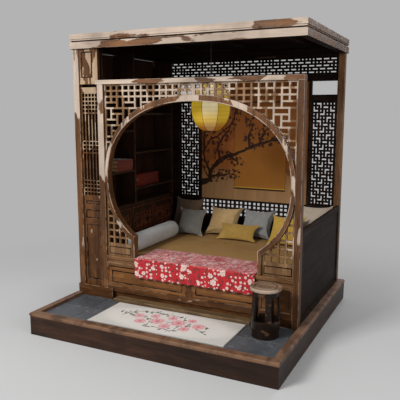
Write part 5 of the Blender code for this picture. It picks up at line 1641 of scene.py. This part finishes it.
@dataclass
class ShelfThings:
    """Bound books, the lacquer box and the carved foot of the curio shelf."""

    panels: int = 3
    margin: float = 0.045
    bead: float = 0.006
    scroll: float = 0.085
    scroll_places: Point = (0.28, 0.72)
    scroll_sizes: Point = (1.0, 0.55)
    lobe: float = 0.22
    lobes: int = 6
    steps: int = 48
    cover: float = 0.003
    count: int = 3
    book_gap: float = 0.0006
    book_inset: float = 0.004
    spine_inset: float = 0.002
    stagger: float = 0.004
    book_ease: float = 0.001
    ease: float = 0.0015
    cloth: Cloth = Cloth("book_cloth", (0.085, 0.011, 0.006), (0.21, 0.036, 0.014))
    pages: Paper = Paper("book_pages", (0.34, 0.18, 0.07), (0.54, 0.32, 0.14))
    red: Lacquer = Lacquer("red_lacquer", (0.085, 0.012, 0.008), (0.19, 0.028, 0.016), (0.28, 0.14, 0.06))

    def build_books(self) -> None:
        """Books, each with a bound cover and a page block."""
        low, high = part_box("book_stack")
        each = (high.z - low.z) / self.count
        board = Vector((self.cover, self.cover, self.cover))
        bm = bmesh.new()
        for n in range(self.count):
            shift = self.stagger * (n - 1)
            start = low + Vector((self.book_inset, self.book_inset + max(0.0, shift), n * each))
            end = Vector((high.x - self.spine_inset, high.y - self.book_inset + min(0.0, shift),
                          low.z + (n + 1) * each - self.book_gap))
            foot, head = start.z + self.cover, end.z - self.cover
            block(bm, start + board, end - board, finish=1)
            block(bm, start, (end.x, end.y, foot), self.book_ease)
            block(bm, (start.x, start.y, head), end, self.book_ease)
            block(bm, (end.x - self.cover, start.y, foot), (end.x, end.y, head))
        books = new_piece("bound_books", bm, [self.cloth.material(), self.pages.material()])
        settle(books, BED, "book_cloth", "book_stack")

    def build_carving(self) -> None:
        """Framed panels with lobed scrolls on the foot's side, above the mat."""
        low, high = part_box("shelf_foot")
        bottom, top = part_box("sleeping_mat")[1].z + self.margin, high.z - self.margin
        wide = (high.y - low.y - self.margin) / self.panels
        bm = bmesh.new()
        for n in range(self.panels):
            start = low.y + self.margin + n * wide
            end = start + wide - self.margin
            corners = ((start, bottom), (end, bottom), (end, top), (start, top))
            tube(bm, [Vector((high.x, y, z)) for y, z in corners], self.bead, closed=True)
            for share in self.scroll_places:
                centre = Vector((high.x, start + share * (end - start), (bottom + top) / 2))
                for size in self.scroll_sizes:
                    path = lobed_ring(centre, Vector((0.0, 1.0, 0.0)), size * self.scroll, self.lobe,
                                      self.lobes, self.steps)
                    tube(bm, path, self.bead, closed=True)
        settle(new_piece("shelf_carving", bm, [CARVED_WOOD.material(Axis.Y)], TUBE_SMOOTH), BED, "brown_wood")

    def dress(self) -> None:
        """Build the books and the carving, and finish the box."""
        self.build_books()
        self.build_carving()
        Joinery().coat("lacquer_box", self.ease, self.red.material())


@dataclass
class Lamp:
    """Hanging lantern: eight gores of silk on ribs, with end rings and an iron hanger."""

    radius: float = 0.179
    end_radius: float = 0.057
    mouth: float = 0.042
    neck: float = 0.024
    fullness: float = 0.8
    gores: int = 8
    tautness: float = 0.85
    wall: float = 0.0016
    rib: float = 0.0018
    rib_inset: float = 0.0006
    ring: float = 0.003
    ring_sides: int = 8
    ring_steps: int = 48
    steps: int = 40
    turns: int = 96
    smooth: float = 40.0

    def profile(self) -> list[Point]:
        """Radius and height of the skin from mouth to neck.

        Returns:
            The points, a hair inside the solid's skin.
        """
        low, high = (corner.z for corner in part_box("lantern_shade"))
        limit = pi / 2 - (self.end_radius / self.radius) ** (1 / self.fullness)
        half = (high - low) / 2 - HAIR
        points = []
        for n in range(self.steps + 1):
            t = limit * (2 * n / self.steps - 1)
            points.append((self.radius * cos(t) ** self.fullness - HAIR,
                           (low + high) / 2 + half * sin(t) / sin(limit)))
        return points

    def drawn_in(self, angle: float) -> float:
        """Radius factor of a skin drawn nearly flat between ribs."""
        part = TURN / self.gores
        flat = cos(part / 2) / cos(angle % part - part / 2)
        return 1 + self.tautness * (flat - 1)

    def build(self) -> None:
        """The silk shade, its ribs and rings, and the hanger."""
        spot = middle("lantern_shade")
        spot.z = 0.0
        outer = self.profile()
        (end_r, foot), (top_r, head) = outer[0], outer[-1]
        bm = turned([(self.mouth, foot), *outer, (self.neck, head)], self.turns)
        for vert in bm.verts:
            factor = self.drawn_in(atan2(vert.co.y, vert.co.x))
            vert.co.xy *= factor
        bmesh.ops.translate(bm, verts=bm.verts, vec=spot)
        skin = new_piece("silk_shade", bm, [Silk().material()], self.smooth)
        thicken(skin, self.wall, -1.0)
        settle(skin, LANTERN, "lantern_silk", "lantern_shade")

        bm = bmesh.new()
        for n in range(self.gores):
            way = Vector((cos(TURN * n / self.gores), sin(TURN * n / self.gores), 0.0))
            tube(bm, [spot + way * (r - self.rib_inset) + UP * z for r, z in outer], self.rib)
        for r, z in ((end_r, foot + HAIR), (top_r, head - HAIR)):
            angles = [TURN * n / self.ring_steps for n in range(self.ring_steps)]
            path = [spot + Vector((r * cos(angle), r * sin(angle), z)) for angle in angles]
            tube(bm, path, self.ring, self.ring_sides, closed=True)
        ribs = new_piece("lantern_ribs", bm, [SHELF_WOOD.material(Axis.Z)], TUBE_SMOOTH)
        settle(ribs, LANTERN, "lantern_silk")
        for node in ("ceiling_hook", "lantern_hanger"):
            paint(node, Iron().material())


@dataclass
class Mat:
    """Woven rush mat with cloth tape along its edges."""

    ease: float = 0.004
    facets: int = 3
    tape: float = 0.035
    tape_inset: float = 0.0005
    proud: float = 0.0006

    def build(self) -> None:
        """The mat and its tape, as one padded piece."""
        low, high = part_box("sleeping_mat")
        bm = bmesh.new()
        block(bm, low + Vector((HAIR, HAIR, 0.0)), high - Vector((HAIR, HAIR, self.proud)), self.ease,
              self.facets)
        for y in (low.y, high.y - self.tape):
            block(bm, (low.x + self.tape_inset, y, low.z), (high.x - self.tape_inset, y + self.tape, high.z),
                  self.ease, self.facets, finish=1)
        mat = new_piece("rush_mat", bm, [Rush().material(), TAPE_CLOTH.material()])
        settle(mat, BED, "rush_mat", "sleeping_mat")


@dataclass
class Rug:
    """Flat rug that lies on the tiles with a few low waves."""

    flat: Point = (1.223, 0.475)
    cells: tuple[int, int] = (122, 48)
    thickness: float = 0.006
    wave: float = 0.0012
    waves: float = 5.0
    edge: float = 0.006
    edge_drop: float = 0.002
    binding: float = 0.0035
    binding_share: float = 0.98
    binding_steps: int = 12
    lift: float = 0.0002

    def build(self) -> None:
        """The pile and the bound edge."""
        low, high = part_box("rug")
        size = high - low
        bm, shares = sheet_grid(*self.cells)
        for vert, (u, v) in shares.items():
            place = Vector((low.x + u * size.x, low.y + v * size.y, 0.0))
            swell = 0.5 + 0.5 * noise.noise(place * self.waves)
            inside = min(min(u, 1 - u) * size.x, min(v, 1 - v) * size.y)
            drop = self.edge_drop * max(0.0, 1 - inside / self.edge) ** 2
            vert.co = (place.x, place.y, high.z - self.wave * swell - drop)
        rug = new_piece("flower_rug", bm, [RugPile().material()], SOFT_SMOOTH)
        thicken(rug, self.thickness, -1.0)
        settle(rug, BED, "wool_rug", "rug")

        r = self.binding
        z = low.z + r + self.lift
        left, right, front, back = low.x + r, high.x - r, low.y + r, high.y - r
        corners = [Vector((x, y, z)) for x, y in ((left, front), (right, front), (right, back), (left, back))]
        path = [start.lerp(end, n / self.binding_steps)
                for start, end in zip(corners, corners[1:] + corners[:1]) for n in range(self.binding_steps)]
        bm = bmesh.new()
        tube(bm, path, r * self.binding_share, 8, closed=True)
        edge = settle(new_piece("rug_binding", bm, [BINDING_CLOTH.material()], SOFT_SMOOTH), BED, "wool_rug")


@dataclass
class Coverlet:
    """Red flowered coverlet: the part on the mat and two flaps that hang before the drawers."""

    thickness: float = 0.003
    cell: float = 0.009
    flap_cell: Point = (0.006, 0.007)
    side_gap: float = 0.003
    front_gap: float = 0.0012
    gap: float = 0.0008
    roll: float = 0.012
    puff: float = 0.011
    crease: float = 0.12
    rear: float = 0.06
    wave: float = 0.013
    fold: float = 0.086
    flare: float = 0.003
    slant: float = 0.006
    hem_room: float = 0.016
    hem_wave: float = 0.01
    hem_drift: float = 0.006
    hem_mean: float = 0.005
    lift: float = 0.55
    tuck: float = 0.0075
    lap: float = 0.0022
    hang: float = 0.055

    def front(self) -> float:
        """Depth at which the cloth has turned down over the sill."""
        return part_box("coverlet_top")[0].y + self.thickness / 2 + self.front_gap

    def folds(self, x: float) -> float:
        """Share of a hanging fold's depth at a place along the cloth, from 0 to 1."""
        return 0.5 + 0.5 * sin(TURN * x / self.fold + 1.1 * sin(5.0 * x))

    def rise(self, x: float, run: float) -> float:
        """Height of the puffs and creases at a place on the cloth."""
        puff = 0.5 + 0.5 * noise.noise(Vector((x * 5.0, run * 7.0, 1.7)))
        crease = abs(noise.noise(Vector((x * 9.0 + run * 6.0, run * 3.0 - x * 2.0, 4.1))))
        return self.puff * (0.35 + 0.65 * puff) * (1 - 0.55 * max(0.0, 1 - crease / self.crease))

    def sheet(self, name: str, bm: Mesh, places: dict[bmesh.types.BMVert, Point]) -> Piece:
        """A sheet with its thickness and its own map in metres.

        Args:
            name: the piece's name.
            bm: its middle surface.
            places: each vertex's place on the flat cloth.

        Returns:
            The piece.
        """
        layer = bm.loops.layers.uv.new(CLOTH_MAP)
        for face in bm.faces:
            for loop in face.loops:
                loop[layer].uv = places[loop.vert]
        piece = new_piece(name, bm, [FlowerCloth().material()], CLOTH_SMOOTH)
        thicken(piece, self.thickness, 0.0)
        return piece

    def build_top(self) -> None:
        """The part that lies on the mat and rolls over the sill."""
        low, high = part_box("coverlet_top")
        base = low.z + self.thickness / 2 + self.gap
        front = self.front()
        bend = pi / 2 * self.roll
        width = high.x - low.x - 2 * self.side_gap
        length = high.y - front - self.roll + bend
        bm, shares = sheet_grid(round(width / self.cell), round(length / self.cell))
        places = {}
        for vert, (u, v) in shares.items():
            x = low.x + self.side_gap + u * width
            run = v * length - bend
            rise = self.rise(x, run)
            if run < 0:
                turn = -run / self.roll
                y = front + self.roll - (self.roll + 0.5 * rise * cos(turn)) * sin(turn)
                z = base + rise * cos(turn) - self.roll * (1 - cos(turn))
            else:
                short = 0.03 * (u - 0.15) + 0.008 * sin(17 * u) + 0.01
                y = front + self.roll + run * (1 - short / length * v)
                z = base + rise * min(1.0, (1 - v) / self.rear)
            vert.co = (x, y, z)
            places[vert] = (x, v * length)
        top = settle(self.sheet("coverlet_top_cloth", bm, places), BED, "red_cloth", "coverlet_top")

    def build_flap(self, node: str) -> None:
        """One hanging flap.

        Args:
            node: the CAD node.
        """
        low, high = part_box(node)
        back = high.y - self.thickness / 2 - HAIR
        front = self.front()
        top = high.z - self.tuck
        width = high.x - low.x
        drop = top - low.z - self.hem_room
        bm, shares = sheet_grid(round(width / self.flap_cell[0]), round(drop / self.flap_cell[1]))
        places = {}
        for vert, (u, v) in shares.items():
            x = low.x + u * width
            share = (1 - v) ** 1.6
            depth = self.wave * self.folds(x) * (0.25 + 0.75 * share ** 0.8)
            flare = self.flare * (1 + noise.noise(Vector((x * 7, share * 2, 2.0)))) * share
            drift = self.hem_drift * noise.noise(Vector((x * 3.0, 0.5, 7.0)))
            down = (drop + self.hem_wave * self.folds(x + 0.03) + drift) * share
            y = back - depth - flare - self.slant * (1 - share) ** 2
            seat = front + (self.thickness + self.gap if down < self.lap else 0.0)
            free = min(1.0, down / self.hang)
            vert.co = (x, seat + (y - seat) * free * free * (3 - 2 * free), top - down)
            places[vert] = (x, -down)
        bmesh.ops.reverse_faces(bm, faces=bm.faces)
        flap = settle(self.sheet(f"{node}_cloth", bm, places), BED, "red_cloth", node)
        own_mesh(flap)

    def build(self) -> None:
        """The three parts."""
        self.build_top()
        self.build_flap("coverlet_flap_left")
        self.build_flap("coverlet_flap_right")


@dataclass
class Bolster:
    """Round bolster with gathered ends and a covered button."""

    skin: float = 0.003
    end_gap: float = 0.002
    mouth: float = 0.013
    squareness: float = 9.0
    dimple: float = 0.016
    steps: int = 44
    turns: int = 72
    gather: float = 0.86
    pleats: int = 18
    pleat_depth: float = 0.0032
    pleat_start: float = 0.03
    crease: float = 0.0022
    sag: float = 0.0035
    sag_length: float = 0.43
    rest: float = 0.0003
    button: float = 0.013
    button_flat: float = 0.4
    button_proud: float = 0.002

    def build(self) -> None:
        """The bolster and its two buttons."""
        low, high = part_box("bolster")
        centre = middle("bolster")
        radius = (high.x - low.x) / 2 - self.skin
        half = (high.y - low.y) / 2 - self.end_gap
        end = half - self.dimple
        profile = [(0.0, -end)]
        for n in range(1, self.steps):
            t = 2 * n / self.steps - 1
            swell = (1 - abs(t) ** self.squareness) ** 0.5
            profile.append((self.mouth + (radius - self.mouth) * swell, half * copysign(abs(t) ** 0.6, t)))
        bm = turned([*profile, (0.0, end)], self.turns, Axis.Y)
        for vert in bm.verts:
            x, y, z = vert.co
            out = vert.co.xz.length
            near = min(1.0, max(0.0, abs(y) / half - self.gather) / (1 - self.gather))
            pleat = self.pleat_depth * near * cos(self.pleats * atan2(z, x))
            pleat *= min(1.0, out / self.pleat_start)
            crease = self.crease * noise.noise(Vector((x * 9, y * 6, z * 9)))
            sag = self.sag * (1 - near) * cos(TURN * y / self.sag_length)
            if out > WELD:
                vert.co.xz *= 1 + (pleat + crease - abs(sag) * 0.5) / out
        bmesh.ops.translate(bm, verts=bm.verts, vec=centre)
        for vert in bm.verts:
            vert.co.z = max(vert.co.z, low.z + self.rest)
        bolster = new_piece("round_bolster", bm, [BOLSTER_CLOTH.material()], CLOTH_SMOOTH)
        settle(bolster, BED, "bolster_cloth", "bolster")
        bm = bmesh.new()
        for sign in (-1, 1):
            spot = centre + Vector((0.0, sign * (end + self.button_proud), 0.0))
            matrix = Matrix.Translation(spot) @ Matrix.Diagonal((1, self.button_flat, 1, 1))
            bmesh.ops.create_uvsphere(bm, u_segments=20, v_segments=12, radius=self.button, matrix=matrix)
        buttons = new_piece("bolster_buttons", bm, [BOLSTER_CLOTH.material()], SOFT_SMOOTH)
        settle(buttons, BED, "bolster_cloth")


@dataclass
class Cushion:
    """One scatter cushion: a crowned form with drawn-in sides and a piped seam."""

    node: str
    width: float
    height: float
    thickness: float
    lean: float
    steps: int = 36
    draw: float = 0.09
    ear: float = 0.035
    crown: float = 0.42
    pucker: float = 0.07
    fold: float = 0.1
    fold_reach: float = 0.25
    shrink: float = 0.965
    piping: float = 0.003
    on_seam: float = 1e-7

    def shape(self) -> tuple[Mesh, list[int]]:
        """The cushion in its place and the seam's points in order.

        Returns:
            The mesh and the indices of the seam's vertices.
        """
        bm = bmesh.new()
        bmesh.ops.create_grid(bm, x_segments=self.steps, y_segments=self.steps, size=1.0)
        for vert in bm.verts:
            u, v = sin(pi / 2 * vert.co.x), sin(pi / 2 * vert.co.y)
            ear = 1 + self.ear * (u * v) ** 4
            x = self.width / 2 * u * (1 - self.draw * u * u * (1 - v * v)) * ear
            z = self.height / 2 * v * (1 - self.draw * v * v * (1 - u * u)) * ear
            crown = max(0.0, (1 - u * u) * (1 - v * v)) ** self.crown
            pucker = 1 + self.pucker * noise.noise(Vector((x * 14, z * 14, self.width * 50)))
            near = max(0.0, 1 - (1 - max(abs(u), abs(v))) / self.fold_reach)
            fold = 1 - self.fold * near * (0.5 + 0.5 * sin(60 * (x if abs(v) > abs(u) else z)))
            vert.co = Vector((x, -self.thickness / 2 * crown * pucker * fold, z)) * self.shrink
        bmesh.ops.mirror(bm, geom=[*bm.verts, *bm.edges, *bm.faces], matrix=Matrix(), merge_dist=CAD_WELD,
                         axis="Y")
        bmesh.ops.remove_doubles(bm, verts=bm.verts, dist=WELD)
        bmesh.ops.recalc_face_normals(bm, faces=bm.faces)
        bm.verts.index_update()
        seam = [vert for vert in bm.verts if abs(vert.co.y) < self.on_seam]
        seam.sort(key=lambda vert: atan2(vert.co.z / self.height, vert.co.x / self.width))
        matrix = Matrix.Translation(middle(self.node)) @ Matrix.Rotation(-radians(self.lean), 4, "X")
        bmesh.ops.transform(bm, matrix=matrix, verts=bm.verts)
        return bm, [vert.index for vert in seam]


class CushionPile:
    """The cushions, filled together by one cloth run."""

    CUSHIONS = (
        Cushion("cushion_brown", 0.36, 0.39, 0.13, 24),
        Cushion("cushion_dark_grey", 0.32, 0.315, 0.11, 30),
        Cushion("cushion_tan", 0.37, 0.345, 0.12, 36),
        Cushion("cushion_grey_blue", 0.36, 0.345, 0.12, 36),
        Cushion("cushion_mustard", 0.35, 0.345, 0.115, 38),
        Cushion("cushion_lumbar", 0.42, 0.215, 0.095, 42),
        Cushion("cushion_beige", 0.375, 0.4, 0.12, 20),
    )
    # the cushion whose pale piping is a painted highlight
    HIGHLIGHT_PIPED = "cushion_dark_grey"
    PRESSURE = 3.0
    FRAMES = 20
    QUALITY = 6
    CAP = 0.012
    SPARE = -0.05
    CLEAR = 0.0008

    def build(self) -> None:
        """Shape every cushion, fill them and sew their piping."""
        made = []
        for cushion in self.CUSHIONS:
            bm, seam = cushion.shape()
            cloth = CUSHION_CLOTHS[cushion.node].material()
            piece = new_piece(f"{cushion.node}_filled", bm, [cloth], CLOTH_SMOOTH)
            made.append((cushion, piece, seam))
        self.fill([piece for _, piece, _ in made])
        for row in made:
            self.sew(*row)

    def fill(self, pieces: list[Piece]) -> None:
        """Swell the cushions with cloth pressure and keep each point near its start.

        Args:
            pieces: the cushions.
        """
        scene = bpy.context.scene
        for piece in pieces:
            cloth = piece.modifiers.new("filling", "CLOTH")
            settings = cloth.settings
            settings.quality = self.QUALITY
            settings.use_pressure = True
            settings.uniform_pressure_force = self.PRESSURE
            settings.shrink_min = self.SPARE
            settings.effector_weights.gravity = 0.0
            cloth.collision_settings.use_collision = False
            cloth.point_cache.frame_start = 1
            cloth.point_cache.frame_end = self.FRAMES
        for number in range(1, self.FRAMES + 1):
            scene.frame_set(number)
        graph = bpy.context.evaluated_depsgraph_get()
        for piece in pieces:
            swollen = [vert.co.copy() for vert in piece.evaluated_get(graph).data.vertices]
            for vert, end in zip(piece.data.vertices, swollen):
                move = end - vert.co
                if move.length > self.CAP:
                    move *= self.CAP / move.length
                vert.co += move
        for piece in pieces:
            piece.modifiers.remove(piece.modifiers["filling"])
        scene.frame_set(1)

    def sew(self, cushion: Cushion, piece: Piece, seam: list[int]) -> None:
        """Seat a cushion on the mat and lay piping along its seam.

        Args:
            cushion: its sizes.
            piece: its mesh.
            seam: the seam's vertices in order.
        """
        node, slot = cushion.node, SLOT_OF[cushion.node]
        low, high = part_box(node)
        floor, wall = low.z + self.CLEAR, high.y - self.CLEAR
        for vert in piece.data.vertices:
            vert.co.z = max(vert.co.z, floor)
            vert.co.y = min(vert.co.y, wall)
        smooth = piece.modifiers.new("smooth", "SUBSURF")
        smooth.levels = smooth.render_levels = 1
        settle(piece, BED, slot, node)
        path = [piece.data.vertices[n].co.copy() for n in seam]
        for point in path:
            point.z = max(point.z, floor + cushion.piping)
            point.y = min(point.y, wall - cushion.piping)
        bm = bmesh.new()
        tube(bm, path, cushion.piping, closed=True)
        # Painted highlight: pale piping on one cushion.
        cloth = HIGHLIGHT_PIPING_CLOTH if node == self.HIGHLIGHT_PIPED else CUSHION_CLOTHS[node]
        settle(new_piece(f"{node}_piping", bm, [cloth.material()], SOFT_SMOOTH), BED, slot)


class Studio:
    """Camera, plain floor and soft light."""

    CAMERA = (2.161, -4.447, 1.874)
    TILT = 80.86
    PAN = 26.02
    LENS = 50.0
    SENSOR = 36.0
    FLOOR_SIZE = 60.0
    FLOOR_TONES = ((0.6, 0.6, 0.6), (0.64, 0.64, 0.64))
    FLOOR_ROUGH = 0.9
    LAMPS = (
        ("key", (-2.2, -6.0, 5.0), 2.4, 440.0),
        ("fill", (5.0, -2.6, 3.2), 3.0, 70.0),
        ("back", (1.0, 5.0, 4.5), 3.0, 110.0),
    )
    TARGET = Vector((0.05, -0.1, 1.1))
    AMBIENT = 0.26
    BACKDROP = 0.45
    FADE = (1.5, 4.2)

    def build(self) -> None:
        """Set the camera, the floor, the lamps and the world."""
        scene = bpy.context.scene
        scene.view_settings.view_transform = "Standard"
        data = bpy.data.cameras.new("camera")
        data.lens, data.sensor_width = self.LENS, self.SENSOR
        camera = bpy.data.objects.new("camera", data)
        camera.location = self.CAMERA
        camera.rotation_euler = (radians(self.TILT), 0.0, radians(self.PAN))
        scene.collection.objects.link(camera)
        scene.camera = camera
        self.build_floor()
        for name, place, size, power in self.LAMPS:
            lamp = bpy.data.lights.new(name, "AREA")
            lamp.size, lamp.energy = size, power
            obj = bpy.data.objects.new(name, lamp)
            obj.location = place
            obj.rotation_euler = (self.TARGET - Vector(place)).to_track_quat("-Z", "Y").to_euler()
            scene.collection.objects.link(obj)
        world = bpy.data.worlds.new("studio")
        world.use_nodes = True
        light = world.node_tree.nodes["Background"].inputs
        light["Color"].default_value = (1.0, 1.0, 1.0, 1.0)
        g = Graph(world.node_tree)
        g.feed(light["Strength"], g.plus(self.seen(g), self.BACKDROP - self.AMBIENT, self.AMBIENT))
        scene.world = world

    def seen(self, g: Graph) -> Socket:
        """1 for the rays that show the backdrop, 0 for those that light the object."""
        rays = g.add("LightPath").outputs
        mirrored = g.math("MAXIMUM", rays["Is Glossy Ray"], rays["Is Transmission Ray"])
        return g.math("MAXIMUM", rays["Is Camera Ray"], mirrored)

    def build_floor(self) -> None:
        """A wide pale floor under the platform, which fades into the backdrop."""
        bm = bmesh.new()
        bmesh.ops.create_grid(bm, x_segments=4, y_segments=4, size=self.FLOOR_SIZE / 2)
        bmesh.ops.translate(bm, verts=bm.verts, vec=(0.0, 0.0, -HAIR))
        g = Surface("studio_floor")
        g.feed(g.shader["Base Color"], g.mix(g.noise(g.mapped(), 0.6), *self.FLOOR_TONES))
        g.shader["Roughness"].default_value = self.FLOOR_ROUGH
        far = g.step(g.vector("LENGTH", g.mapped(), out="Value"), *self.FADE)
        glow = g.fed(g.add("Emission"), Strength=self.BACKDROP)[0]
        plain = g.tree.nodes["Principled BSDF"].outputs[0]
        blend = g.add("MixShader", g.times(far, self.seen(g)), plain, glow).outputs[0]
        g.feed(g.tree.nodes["Material Output"].inputs["Surface"], blend)
        new_piece("studio_floor", bm, [g.material])


def main() -> None:
    """Build the looks piece by piece."""
    logging.basicConfig(level=logging.INFO, format="%(message)s")
    Studio().build()
    Platform().dress()
    Joinery().dress()
    PanelBeads().build()
    BackFrets().build()
    GateCarving().build()
    Stool().dress()
    BackWall().dress()
    ShelfThings().dress()
    Lamp().build()
    Mat().build()
    Rug().build()
    Coverlet().build()
    Bolster().build()
    CushionPile().build()


if __name__ == "__main__":
    main()
